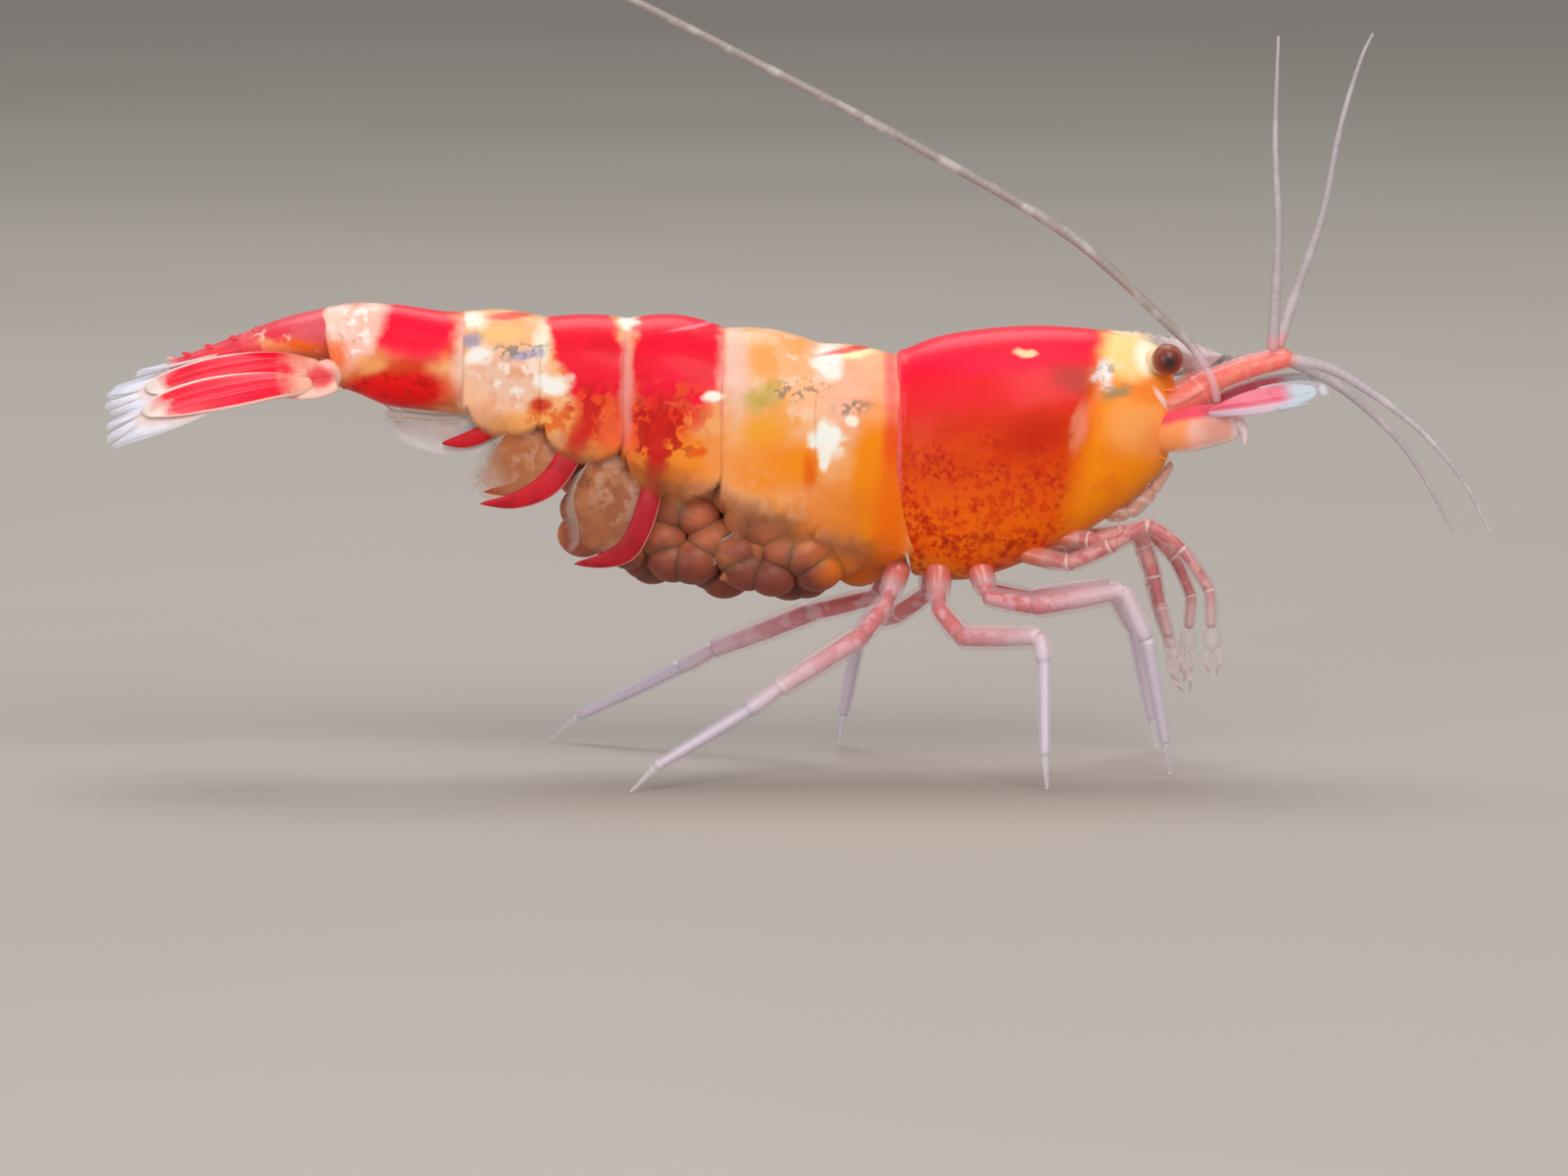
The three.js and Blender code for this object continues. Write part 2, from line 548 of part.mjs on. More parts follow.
// ---- Limbs --------------------------------------------------------------------------------------------
function clawLeg(points) {
  const { radius, palmRadius, fingerRadius, tipRadius } = CLAW_LEG;
  const { fork, palmLength, fingerLength, fingerSpread } = CLAW;
  const [end, before] = vectors([points[points.length - 1], points[points.length - 2]]);
  const ahead = end.clone().sub(before).normalize();
  const aside = new THREE.Vector3(ahead.z, 0, -ahead.x).normalize();
  const at = (along, off) => end.clone().addScaledVector(ahead, along).addScaledVector(aside, off).toArray();
  const reach = palmLength + fingerLength;
  const armPath = [...points, at(palmLength, -fingerSpread / 2), at(reach, -fingerSpread)];
  const armRadii = [...points.map(() => radius), palmRadius, tipRadius];
  const arm = limb(armPath, armRadii, { sides: 6, perSegment: 1 });
  const fingerPath = [at(fork, fingerSpread / 2), at(palmLength, fingerSpread), at(reach, fingerSpread)];
  const finger = limb(fingerPath, [fingerRadius, fingerRadius, tipRadius], { sides: 5, perSegment: 1 });
  return arm.add(finger);
}

function walkingLeg(points) {
  return limb(points, WALKING_LEG_RADIUS, { sides: 7, perSegment: 1, foot: true, tension: 0.3 });
}

function swimmeret({ spine, half }, sign) {
  return blade(onSide(spine, sign), half, [1, 0, -0.8], { stations: 5, sides: 8 });
}

// ---- Feelers ------------------------------------------------------------------------------------------
function feeler(points) {
  const perSegment = points.length > 6 ? 1 : 2;
  return limb(points, [FEELER_RADIUS, FEELER_RADIUS], { sides: 6, perSegment, tension: 0.5 });
}

function antennaBase(sign) {
  const foot = limb(onSide(ANTENNA_BASE.path, sign), ANTENNA_BASE.radius, { sides: 7, perSegment: 1 });
  const stem = limb(onSide(ANTENNA_STEM.path, sign), ANTENNA_STEM.radius, { sides: 6, perSegment: 1 });
  return foot.add(stem);
}

// ---- Assembly -----------------------------------------------------------------------------------------
// Pieces are placed from the trunk outwards; each one is cut clear of those already there.
const animal = new THREE.Group();
const placed = [];

function place(name, solid, material) {
  const fitted = clearOf(solid, placed);
  placed.push(fitted);
  const mesh = new THREE.Mesh(geometryOf(fitted), material);
  mesh.name = name;
  animal.add(mesh);
}

const eyeRooms = SIDES.map(({ sign }) => eyeball(sign, GAP).add(eyestalk(sign, GAP)));
place("carapace", eyeRooms.reduce((left, room) => left.subtract(room), carapaceShell()), ORANGE_SHELL);
SOMITES.forEach((ring, i) => place(ring.name, somite(ring, i), i === 2 || i === 3 ? RED_SHELL : CREAM_SHELL));
place("abdomen_6", tailSomite(), RED_SHELL);
place("telson", telson(), TAIL_FIN);

SIDES.forEach(({ side, sign }) => {
  const tailStem = limb(onSide(UROPOD_STEM.path, sign), UROPOD_STEM.radius, { perSegment: 2 });
  place(`uropod_stem_${side}`, tailStem, TAIL_FIN);
  place(`uropod_inner_${side}`, sideBlade(ENDOPOD, sign), TAIL_FIN);
  place(`uropod_outer_${side}`, sideBlade(EXOPOD, sign), TAIL_FIN);

  place(`eye_${side}`, eyeball(sign), EYE_GLOSS);
  place(`eyestalk_${side}`, eyestalk(sign).subtract(eyeball(sign, GAP)), ORANGE_SHELL);

  const feelerStem = limb(onSide(ANTENNULE_STEM.path, sign), ANTENNULE_STEM.radius, { perSegment: 2 });
  place(`antennule_${side}`, feelerStem, TAIL_FIN);
  place(`antenna_base_${side}`, antennaBase(sign), TAIL_FIN);
  place(`antenna_scale_${side}`, sideBlade(ANTENNA_SCALE, sign, 6), TAIL_FIN);
  ["antennule_outer", "antennule_inner"].forEach((name) => {
    place(`${name}_${side}`, feeler(ANTENNULE_FEELERS[`${name}_${side}`]), FEELER_SKIN);
  });
  place(`antenna_${side}`, feeler(ANTENNAE[`antenna_${side}`]), FEELER_SKIN);
  const mouthLeg = limb(onSide(MAXILLIPED.path, sign), MAXILLIPED.radius, { sides: 6, perSegment: 1 });
  place(`maxilliped_${side}`, mouthLeg, LEG_SKIN);

  for (const name of [1, 2].map((pair) => `leg_${pair}_${side}`)) {
    place(name, clawLeg(CLAW_LEGS[name]), LEG_SKIN);
  }
  for (const name of [3, 4, 5].map((pair) => `leg_${pair}_${side}`)) {
    place(name, walkingLeg(WALKING_LEGS[name]), LEG_SKIN);
  }
  Object.entries(SWIMMERETS).forEach(([name, sizes]) => {
    place(`${name}_${side}`, swimmeret(sizes, sign), SWIMMERET_SKIN);
  });
});
place("egg_clutch", eggClutch(), EGG_SKIN);

// The origin goes under the middle of the whole animal's box, on the floor.
const box = new THREE.Box3().setFromObject(animal);
const middle = box.getCenter(new THREE.Vector3());
animal.position.set(-middle.x, -middle.y, -box.min.z);
animal.updateMatrixWorld(true);
const part = new THREE.Group();
part.add(animal);

export default part;
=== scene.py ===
"""A dwarf freshwater shrimp carrying eggs, dressed as a life-size museum model.

Lengths are in millimetres in the animal's own measures: x runs to the head from the rear edge of the head
shell, y to the animal's left from its middle and z up from the floor. `Ground` puts them in the frame.
"""

from __future__ import annotations

import logging
import math
import random
from contextlib import contextmanager
from dataclasses import dataclass, field
from enum import Enum
from typing import Callable, ClassVar, Iterator, Sequence, Union

import bpy
import numpy as np
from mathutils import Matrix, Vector


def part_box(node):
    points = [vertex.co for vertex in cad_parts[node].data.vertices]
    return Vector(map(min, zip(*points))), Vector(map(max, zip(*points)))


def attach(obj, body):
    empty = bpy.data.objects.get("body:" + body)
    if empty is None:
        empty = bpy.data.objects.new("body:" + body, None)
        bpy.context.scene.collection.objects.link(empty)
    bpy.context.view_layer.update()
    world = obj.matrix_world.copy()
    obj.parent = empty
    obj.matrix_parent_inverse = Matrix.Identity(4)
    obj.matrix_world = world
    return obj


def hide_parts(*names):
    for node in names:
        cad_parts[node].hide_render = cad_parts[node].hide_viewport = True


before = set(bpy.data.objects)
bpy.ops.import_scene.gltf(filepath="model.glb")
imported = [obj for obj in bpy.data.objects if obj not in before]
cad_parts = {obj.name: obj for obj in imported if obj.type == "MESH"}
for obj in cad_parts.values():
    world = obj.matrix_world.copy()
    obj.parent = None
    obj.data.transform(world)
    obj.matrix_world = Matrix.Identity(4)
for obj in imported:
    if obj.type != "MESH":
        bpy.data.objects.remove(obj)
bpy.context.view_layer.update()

log = logging.getLogger("shrimp")

Point = tuple[float, float, float]
Keys = Sequence[tuple[float, float]]
Profile = Callable[[float], float]
Line = tuple[Point, ...]
Shares = tuple[float, ...]
Piece = bpy.types.Object
Material = bpy.types.Material
Socket = bpy.types.NodeSocket
Level = Union[float, Socket]
Chart = tuple[float, float]
Stations = list[tuple[float, float]]
Placer = Callable[[float, float, float], Vector]

MM = 0.001
UV = "UVMap"
HAIR_UV = "OFBake"
BACK_FULLNESS = 0.92
BELLY_FULLNESS = 0.72


class Side(Enum):
    """The two sides of the animal, with the sign of y there."""

    RIGHT = -1
    LEFT = 1

    @property
    def label(self) -> str:
        """The side's word in a node's name."""
        return self.name.lower()

    def points(self, points: Sequence[Point]) -> list[Point]:
        """Points given for the right side, on this side."""
        return [(x, -self.value * y, z) for x, y, z in points]


# ---- Curves ------------------------------------------------------------------------------------------
def through(keys: Keys) -> Profile:
    """Makes a smooth curve through (position, value) keys.

    Args:
        keys: positions with the value at each.

    Returns:
        The value as a function of position, held at both ends.
    """
    xs = [x for x, _ in sorted(keys)]
    ys = [y for _, y in sorted(keys)]
    last = len(xs) - 1
    spans = [(max(i - 1, 0), min(i + 1, last)) for i in range(last + 1)]
    slopes = [(ys[b] - ys[a]) / (xs[b] - xs[a]) for a, b in spans]

    def value(x: float) -> float:
        at = min(max(x, xs[0]), xs[-1])
        i = min(max(next(k for k in range(last + 1) if xs[k] >= at) - 1, 0), last - 1)
        span = xs[i + 1] - xs[i]
        t = (at - xs[i]) / span
        rise = (ys[i + 1] - ys[i]) * (3 * t * t - 2 * t**3)
        lean = span * (slopes[i] * t * (1 - t) ** 2 + slopes[i + 1] * t * t * (t - 1))
        return ys[i] + rise + lean

    return value


def spread(values: Sequence[float]) -> Profile:
    """A smooth curve through values evenly spaced from 0 to 1."""
    return through([(i / (len(values) - 1), value) for i, value in enumerate(values)])


def smooth(low: float, high: float, x: float) -> float:
    """A soft step from 0 at low to 1 at high."""
    t = min(max((x - low) / (high - low), 0.0), 1.0)
    return t * t * (3 - 2 * t)


def mix(a: float, b: float, t: float) -> float:
    """The value at share t between a and b."""
    return a + (b - a) * t


def bell(x: float, middle: float, width: float) -> float:
    """A soft bump of height 1 at middle, of that half width."""
    return math.exp(-(((x - middle) / width) ** 2))


def bowed(turn: float, power: float) -> float:
    """The sine of a turn, with its sides made fuller."""
    return math.copysign(abs(math.sin(turn)) ** power, math.sin(turn))


def rounding(steps: int) -> list[float]:
    """Turns from 0 up to a quarter, without the quarter itself."""
    return [math.pi / 2 * k / steps for k in range(steps)]


class Path:
    """A smooth line through points, with a frame at every share of its length."""

    STEPS = 14

    def __init__(
        self, points: Sequence[Sequence[float]], tension: float = 0.5, up: Point = (0, 1, 0)
    ) -> None:
        """Samples the line.

        Args:
            points: what it passes through.
            tension: how round it is at each point, from 0, straight, to 0.5.
            up: the way that its first normal leans.
        """
        marks = [Vector(p) for p in points]
        marks = [2 * marks[0] - marks[1], *marks, 2 * marks[-1] - marks[-2]]
        self.spots: list[Vector] = []
        for a, b, c, d in zip(marks, marks[1:], marks[2:], marks[3:]):
            for k in range(self.STEPS):
                self.spots.append(self._between(a, b, c, d, k / self.STEPS, tension))
        self.spots.append(marks[-2])
        steps = [(b - a).length for a, b in zip(self.spots, self.spots[1:])]
        self.length = sum(steps)
        self.shares = [0.0, *np.cumsum(steps) / self.length]
        self.shares[-1] = 1.0
        self.normals: list[Vector] = []
        normal = Vector(up)
        for i in range(len(self.spots)):
            tangent = self._tangent(i)
            normal = (normal - tangent * normal.dot(tangent)).normalized()
            self.normals.append(normal.copy())

    @staticmethod
    def _between(a: Vector, b: Vector, c: Vector, d: Vector, t: float, tension: float) -> Vector:
        """The point at share t of the span from b to c."""
        start, end = (c - a) * tension, (d - b) * tension
        t2, t3 = t * t, t**3
        leaving = b * (2 * t3 - 3 * t2 + 1) + start * (t3 - 2 * t2 + t)
        return leaving + c * (3 * t2 - 2 * t3) + end * (t3 - t2)

    def _tangent(self, i: int) -> Vector:
        """The way the line runs at sample i."""
        return (self.spots[min(i + 1, len(self.spots) - 1)] - self.spots[max(i - 1, 0)]).normalized()

    def at(self, share: float) -> tuple[Vector, Vector, Vector]:
        """Reads the line at a share of its length.

        Args:
            share: 0 at its start and 1 at its end.

        Returns:
            The point, the way it runs and its normal there.
        """
        share = min(max(share, 0.0), 1.0)
        i = min(int(np.searchsorted(self.shares, share, side="right")) - 1, len(self.spots) - 2)
        span = self.shares[i + 1] - self.shares[i]
        t = (share - self.shares[i]) / span if span else 0.0
        point = self.spots[i].lerp(self.spots[i + 1], t)
        tangent = self._tangent(i).lerp(self._tangent(i + 1), t).normalized()
        normal = self.normals[i].lerp(self.normals[i + 1], t)
        return point, tangent, (normal - tangent * normal.dot(tangent)).normalized()

    def crossed(self, share: float, across: Sequence[float]) -> tuple[Vector, Vector, Vector]:
        """The point, the way it runs and the square way nearest to across, at a share of its length."""
        point, tangent, _ = self.at(share)
        wide = Vector(across)
        return point, tangent, (wide - tangent * wide.dot(tangent)).normalized()


# ---- Meshes ------------------------------------------------------------------------------------------
def pick(*pieces: Piece) -> None:
    """Selects these pieces alone, the first one active."""
    bpy.ops.object.select_all(action="DESELECT")
    for piece in pieces:
        piece.select_set(True)
    bpy.context.view_layer.objects.active = pieces[0]


def moved(piece: Piece, change: Callable[[np.ndarray], np.ndarray]) -> None:
    """Changes the places of all of a piece's vertices at once."""
    mesh = piece.data
    spots = np.empty(len(mesh.vertices) * 3)
    mesh.vertices.foreach_get("co", spots)
    mesh.vertices.foreach_set("co", change(spots.reshape(-1, 3)).ravel())
    mesh.update()


def reshaped(piece: Piece, place: Callable[[np.ndarray], Sequence[float]]) -> None:
    """Moves every vertex of a piece to where place puts it."""
    moved(piece, lambda spots: np.array([tuple(place(spot)) for spot in spots]))


def charted(piece: Piece, chart: Callable[[float, float], Chart]) -> None:
    """Rewrites the piece's map from its even grid shares."""
    layer = piece.data.uv_layers[UV].data
    for loop in layer:
        loop.uv = chart(loop.uv[0], loop.uv[1])


@contextmanager
def editing() -> Iterator[None]:
    """Keeps the active piece in edit mode for the block under it."""
    bpy.ops.object.mode_set(mode="EDIT")
    yield
    bpy.ops.object.mode_set(mode="OBJECT")


def grid(name: str, rows: int, columns: int, place: Callable[[float, float], Vector]) -> Piece:
    """A mapped sheet whose points stand where place puts their shares along and across."""
    bpy.ops.object.select_all(action="DESELECT")
    bpy.ops.mesh.primitive_grid_add(x_subdivisions=rows, y_subdivisions=columns, size=1, calc_uvs=True)
    piece = bpy.context.object
    piece.name = name
    reshaped(piece, lambda spot: place(spot[0] + 0.5, spot[1] + 0.5))
    return piece


def rolled(
    name: str, stations: Stations, columns: int, place: Placer,
    chart: Callable[[float, float], Chart] | None = None
) -> Piece:
    """Rolls a grid into a closed form and joins its seam and its ends.

    Args:
        name: the piece's name.
        stations: the place along and the share of the full section, row by row.
        columns: faces round it.
        place: the point for a station and a turn in radians.
        chart: the map's place for a station's place and a share round, where it isn't the plain shares.

    Returns:
        The piece, in millimetres.
    """
    last = len(stations) - 1
    piece = grid(name, last, columns, lambda u, v: place(*stations[round(u * last)], 2 * math.pi * v))
    if chart:
        charted(piece, lambda u, v: chart(stations[round(u * last)][0], v))
    with editing():
        bpy.ops.mesh.select_all(action="SELECT")
        bpy.ops.mesh.remove_doubles(threshold=1e-4)
        bpy.ops.mesh.normals_make_consistent(inside=False)
    return piece


def capped(rows: int, start: float, end: float, cap: int = 5) -> Stations:
    """Stations along a round-ended form.

    Args:
        rows: stations between the rounded ends.
        start: the first end's rounding, as a share of the length.
        end: the last end's.
        cap: stations in each rounding.

    Returns:
        A share along and a share of the full section for each station.
    """
    quarter = rounding(cap)
    first = [(start * (1 - math.cos(a)), math.sin(a)) for a in quarter]
    middle = [(mix(start, 1 - end, k / rows), 1.0) for k in range(rows + 1)]
    last = [(1 - end * (1 - math.cos(a)), math.sin(a)) for a in reversed(quarter)]
    return first + middle + last


def tube(
    name: str, path: Path, radius: Profile, rows: int = 24, columns: int = 12, flat: float = 1.0,
    span: tuple[float, float] = (0.0, 1.0),
) -> Piece:
    """A round-ended limb along a path.

    Args:
        name: the piece's name.
        path: its middle line.
        radius: its radius by share of length.
        rows: faces along it.
        columns: faces round it.
        flat: its depth across the path's normal as a share of its width.
        span: the shares of its map from one end to the other.

    Returns:
        The piece, in millimetres.
    """

    def place(share: float, full: float, turn: float) -> Vector:
        point, tangent, normal = path.at(share)
        size = radius(share) * full
        return point + normal * size * math.cos(turn) + tangent.cross(normal) * size * flat * math.sin(turn)

    ends = (min(radius(end) / path.length, 0.4) for end in (0, 1))
    return rolled(name, capped(rows, *ends), columns, place, lambda share, v: (mix(*span, share), v))


def blade(
    name: str, path: Path, across: Sequence[float], width: Profile, thick: Profile, rows: int = 40,
    columns: int = 32,
    relief: Callable[[float, float], float] = lambda share, off: 0.0,
    lean: Callable[[float, float], float] = lambda share, off: 0.0,
) -> Piece:
    """A flat blade along a path, with ribs.

    Args:
        name: the piece's name.
        path: its middle line.
        across: the way it is wide.
        width: its half width by share of length.
        thick: its half thickness by share of length.
        rows: faces along it.
        columns: faces round it.
        relief: thickness added at a share along and a place across from -1 to 1.
        lean: how far it is lifted off its plane there.

    Returns:
        The piece, in millimetres, mapped by share along and place across.
    """

    def place(share: float, full: float, turn: float) -> Vector:
        point, tangent, wide = path.crossed(share, across)
        off = math.cos(turn)
        rise = math.sin(turn) * (thick(share) + relief(share, off)) * full
        return point + wide * off * width(share) * full + tangent.cross(wide) * (rise + lean(share, off))

    def chart(share: float, v: float) -> Chart:
        return share, 0.5 + 0.5 * math.cos(2 * math.pi * v)

    return rolled(name, capped(rows, 0.02, 0.06, 6), columns, place, chart)


def joined(name: str, pieces: Sequence[Piece]) -> Piece:
    """Joins pieces into one of that name."""
    pick(*pieces)
    if len(pieces) > 1:
        bpy.ops.object.join()
    made = bpy.context.object
    made.name = name
    return made


def ball(name: str, centre: Sequence[float], radius: float, level: int = 3) -> Piece:
    """A round ball of even triangles."""
    bpy.ops.object.select_all(action="DESELECT")
    bpy.ops.mesh.primitive_ico_sphere_add(
        subdivisions=level, radius=radius, location=tuple(centre), calc_uvs=True
    )
    made = bpy.context.object
    made.name = name
    bpy.ops.object.transform_apply(location=True, rotation=True, scale=True)
    return made


@dataclass(frozen=True)
class Hair:
    """One bristle: where it grows, where its tip is, its radius and how far it bows."""

    root: Vector
    tip: Vector
    radius: float = 0.014
    bow: Vector = field(default_factory=lambda: Vector((0, 0, 0)))


def bristles(name: str, hairs: Sequence[Hair], steps: int = 4) -> Piece:
    """Copies one modelled bristle to many places, as a single mesh.

    Args:
        name: the piece's name.
        hairs: the bristles wanted.
        steps: faces along each.

    Returns:
        The piece, with each bristle a small patch of its own on the map.
    """
    bpy.ops.object.select_all(action="DESELECT")
    bpy.ops.mesh.primitive_cone_add(vertices=3, radius1=1, radius2=0.12, depth=1, location=(0, 0, 0.5))
    model = bpy.context.object
    bpy.ops.object.transform_apply(location=True)
    with editing():
        bpy.ops.mesh.select_all(action="DESELECT")
    for edge in model.data.edges:
        heights = [model.data.vertices[k].co.z for k in edge.vertices]
        edge.select = abs(heights[0] - heights[1]) > 0.5
    with editing():
        bpy.ops.mesh.subdivide(number_cuts=steps - 1)
    shape = np.array([tuple(v.co) for v in model.data.vertices])
    faces = [tuple(f.vertices) for f in model.data.polygons]
    bpy.data.objects.remove(model)

    spots, polygons = [], []
    for hair in hairs:
        run = hair.tip - hair.root
        ahead = run.normalized()
        side = ahead.orthogonal().normalized()
        other = ahead.cross(side)
        height = shape[:, 2:3]
        bend = 4 * height * (1 - height)
        spots.append(
            np.array(hair.root)
            + shape[:, 0:1] * hair.radius * np.array(side)
            + shape[:, 1:2] * hair.radius * np.array(other)
            + height * np.array(run)
            + bend * np.array(hair.bow)
        )
        polygons.extend(tuple(k + len(shape) * (len(spots) - 1) for k in face) for face in faces)
    mesh = bpy.data.meshes.new(name)
    mesh.from_pydata(np.concatenate(spots).tolist(), [], polygons)
    cells = math.ceil(math.sqrt(len(hairs)))
    for layer in (mesh.uv_layers.new(name=UV), mesh.uv_layers.new(name=HAIR_UV)):
        for loop in mesh.loops:
            hair, corner = divmod(loop.vertex_index, len(shape))
            row, column = divmod(hair, cells)
            wide = 0.5 + 0.003 * shape[corner, 0]
            layer.data[loop.index].uv = (column + wide) / cells, (row + 0.1 + 0.8 * shape[corner, 2]) / cells
    made = bpy.data.objects.new(name, mesh)
    bpy.context.scene.collection.objects.link(made)
    root_to_tip = mesh.attributes.new("length", "FLOAT", "POINT")
    root_to_tip.data.foreach_set("value", np.tile(shape[:, 2], len(hairs)).astype(np.float32))
    return made


# ---- The animal's place ------------------------------------------------------------------------------
@dataclass(frozen=True)
class Ground:
    """Where the animal's own measures lie in the frame."""

    HEAD_SHELL_REAR: ClassVar[float] = 0.06
    SHARP: ClassVar[float] = math.radians(50)
    x: float
    y: float

    @classmethod
    def found(cls) -> "Ground":
        """Reads the shift from the head shell's box."""
        low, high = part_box("carapace")
        return cls(low.x / MM - cls.HEAD_SHELL_REAR, (low.y + high.y) / 2 / MM)

    def metres(self, point: Sequence[float]) -> Vector:
        """A point in the frame, in metres."""
        return Vector((point[0] + self.x, point[1] + self.y, point[2])) * MM

    def settle(self, piece: Piece, material: Material, slot: str, nodes: Sequence[str] = ()) -> Piece:
        """Puts a finished piece in the frame and dresses it.

        Args:
            piece: the piece, in millimetres.
            material: what it is dressed in.
            slot: not used.
            nodes: the solids that it stands for.

        Returns:
            The same piece.
        """
        piece.name = f"{piece.name.split('.')[0]}_piece"
        moved(piece, lambda spots: (spots + np.array([self.x, self.y, 0.0])) * MM)
        piece.data.materials.clear()
        piece.data.materials.append(material)
        pick(piece)
        bpy.ops.object.shade_smooth_by_angle(angle=self.SHARP)
        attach(piece, "root")
        if nodes:
            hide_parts(*nodes)
        log.info("%s: %d faces", piece.name, len(piece.data.polygons))
        return piece

    def dress(self, name: str, pieces: Sequence[Piece], material: Material, slot: str) -> None:
        """Joins the pieces that stand for the solid of that name and settles them."""
        self.settle(joined(name, pieces), material, slot, [name])


# ---- Paint -------------------------------------------------------------------------------------------
def wired(
    tree: bpy.types.NodeTree, kind: str, inputs: dict | None = None, **settings: object
) -> bpy.types.Node:
    """Adds a node, with its settings and what feeds its sockets."""
    made = tree.nodes.new(kind)
    for key, value in settings.items():
        setattr(made, key, value)
    for key, value in (inputs or {}).items():
        if isinstance(value, Socket):
            tree.links.new(value, made.inputs[key])
        else:
            made.inputs[key].default_value = value
    return made


def linear(colour: str) -> tuple[float, float, float, float]:
    """A #rrggbb colour as linear light, with full opacity."""
    parts = [int(colour[k : k + 2], 16) / 255 for k in (1, 3, 5)]
    return (*(c / 12.92 if c <= 0.04045 else ((c + 0.055) / 1.055) ** 2.4 for c in parts), 1.0)


class Paint:
    """One material, with its colour built up in layers over the animal's own measures."""

    def __init__(self, name: str, ground: str, place: Ground, **sockets: float) -> None:
        """Starts the material.

        Args:
            name: its name.
            ground: the colour under all the layers.
            place: where the animal's measures lie.
            sockets: numbers for the shader, such as Roughness.
        """
        self.material = bpy.data.materials.new(name)
        self.material.use_nodes = True
        self.tree = self.material.node_tree
        self.shader = self.tree.nodes["Principled BSDF"]
        self.place = place
        self.ground = linear(ground)
        self.shader.inputs["Base Color"].default_value = self.ground
        self.colour: Socket | None = None
        self.kept: dict[str, Socket] = {}
        for key, value in sockets.items():
            self.shader.inputs[key.replace("_", " ")].default_value = value

    def node(self, kind: str, inputs: dict | None = None, **settings: object) -> bpy.types.Node:
        """Adds a node to the material."""
        return wired(self.tree, kind, inputs, **settings)

    def math(self, operation: str, a: Level, b: Level = 0.0) -> Socket:
        """A sum of two levels."""
        return self.node("ShaderNodeMath", {0: a, 1: b}, operation=operation).outputs[0]

    def times(self, a: Level, b: Level) -> Socket:
        """Two levels multiplied."""
        return self.math("MULTIPLY", a, b)

    def most(self, a: Level, b: Level) -> Socket:
        """The higher of two levels."""
        return self.math("MAXIMUM", a, b)

    def off(self, level: Level, middle: float) -> Socket:
        """How far a level is from a middle."""
        return self.math("ABSOLUTE", self.math("SUBTRACT", level, middle))

    def shaken(self, level: Level, scale: float, amount: float) -> Socket:
        """A level shaken by a cloudy one of that scale."""
        return self.math("ADD", level, self.times(self.math("SUBTRACT", self.noise(scale), 0.5), amount))

    def ramp(self, level: Level, low: float, high: float) -> Socket:
        """A soft step from 0 at low to 1 at high, either way round."""
        inputs = {"Value": level, "From Min": min(low, high), "From Max": max(low, high)}
        inputs |= {"To Min": float(low > high), "To Max": float(low < high)}
        return self.node("ShaderNodeMapRange", inputs, interpolation_type="SMOOTHSTEP").outputs[0]

    @property
    def spot(self) -> Socket:
        """The place on the animal, in millimetres."""
        if "spot" not in self.kept:
            here = self.node("ShaderNodeTexCoord").outputs["Object"]
            shift = (-self.place.x, -self.place.y, 0.0)
            inputs = {"Vector": here, "Scale": (1 / MM,) * 3, "Location": shift}
            self.kept["spot"] = self.node("ShaderNodeMapping", inputs).outputs[0]
        return self.kept["spot"]

    def ragged(self, amount: float, scale: float = 2.4) -> Socket:
        """The place on the animal, shaken by that amount so that edges wander."""
        if not amount:
            return self.spot
        key = f"ragged {amount} {scale}"
        if key not in self.kept:
            noise = self.node("ShaderNodeTexNoise", {"Vector": self.spot, "Scale": scale, "Detail": 4.0})
            inputs = {0: noise.outputs["Color"], 1: (0.5,) * 3}
            even = self.node("ShaderNodeVectorMath", inputs, operation="SUBTRACT")
            inputs = {0: even.outputs[0], 1: (2 * amount,) * 3, 2: self.spot}
            self.kept[key] = self.node("ShaderNodeVectorMath", inputs, operation="MULTIPLY_ADD").outputs[0]
        return self.kept[key]

    def axis(self, name: str, amount: float = 0.0) -> Socket:
        """One of the animal's measures, x, y or z, shaken by that amount."""
        key = f"axis {amount}"
        if key not in self.kept:
            self.kept[key] = self.node("ShaderNodeSeparateXYZ", {0: self.ragged(amount)}).outputs[0]
        return self.kept[key].node.outputs["XYZ".index(name.upper())]

    def chart(self, name: str) -> Socket:
        """The piece's own map: u along it or v round or across it."""
        if "map" not in self.kept:
            where = self.node("ShaderNodeUVMap", uv_map=UV).outputs[0]
            self.kept["map"] = self.node("ShaderNodeSeparateXYZ", {0: where}).outputs[0]
        return self.kept["map"].node.outputs["uv".index(name)]

    def noise(self, scale: float, detail: float = 3.0, stretch: Point = (1, 1, 1)) -> Socket:
        """A cloudy level about 0.5, with that many clouds to the millimetre."""
        where = self.node("ShaderNodeMapping", {"Vector": self.spot, "Scale": stretch}).outputs[0]
        inputs = {"Vector": where, "Scale": scale, "Detail": detail}
        return self.node("ShaderNodeTexNoise", inputs).outputs["Fac"]

    def cells(
        self, scale: float, feature: str = "F1", shake: float = 0.0, stretch: Point = (1, 1, 1)
    ) -> Socket:
        """How far it is to the middle, or the edge, of scattered cells."""
        where = self.node("ShaderNodeMapping", {"Vector": self.ragged(shake), "Scale": stretch}).outputs[0]
        inputs = {"Vector": where, "Scale": scale}
        return self.node("ShaderNodeTexVoronoi", inputs, feature=feature).outputs["Distance"]

    def over(self, colour: str, mask: Level, strength: float = 1.0) -> None:
        """Lays a colour over what is there, where the mask is."""
        if strength != 1.0:
            mask = self.times(mask, strength)
        inputs = {0: mask, 6: self.colour or self.ground, 7: linear(colour)}
        made = self.node("ShaderNodeMix", inputs, data_type="RGBA", clamp_factor=True)
        self.colour = made.outputs[2]
        self.tree.links.new(self.colour, self.shader.inputs["Base Color"])

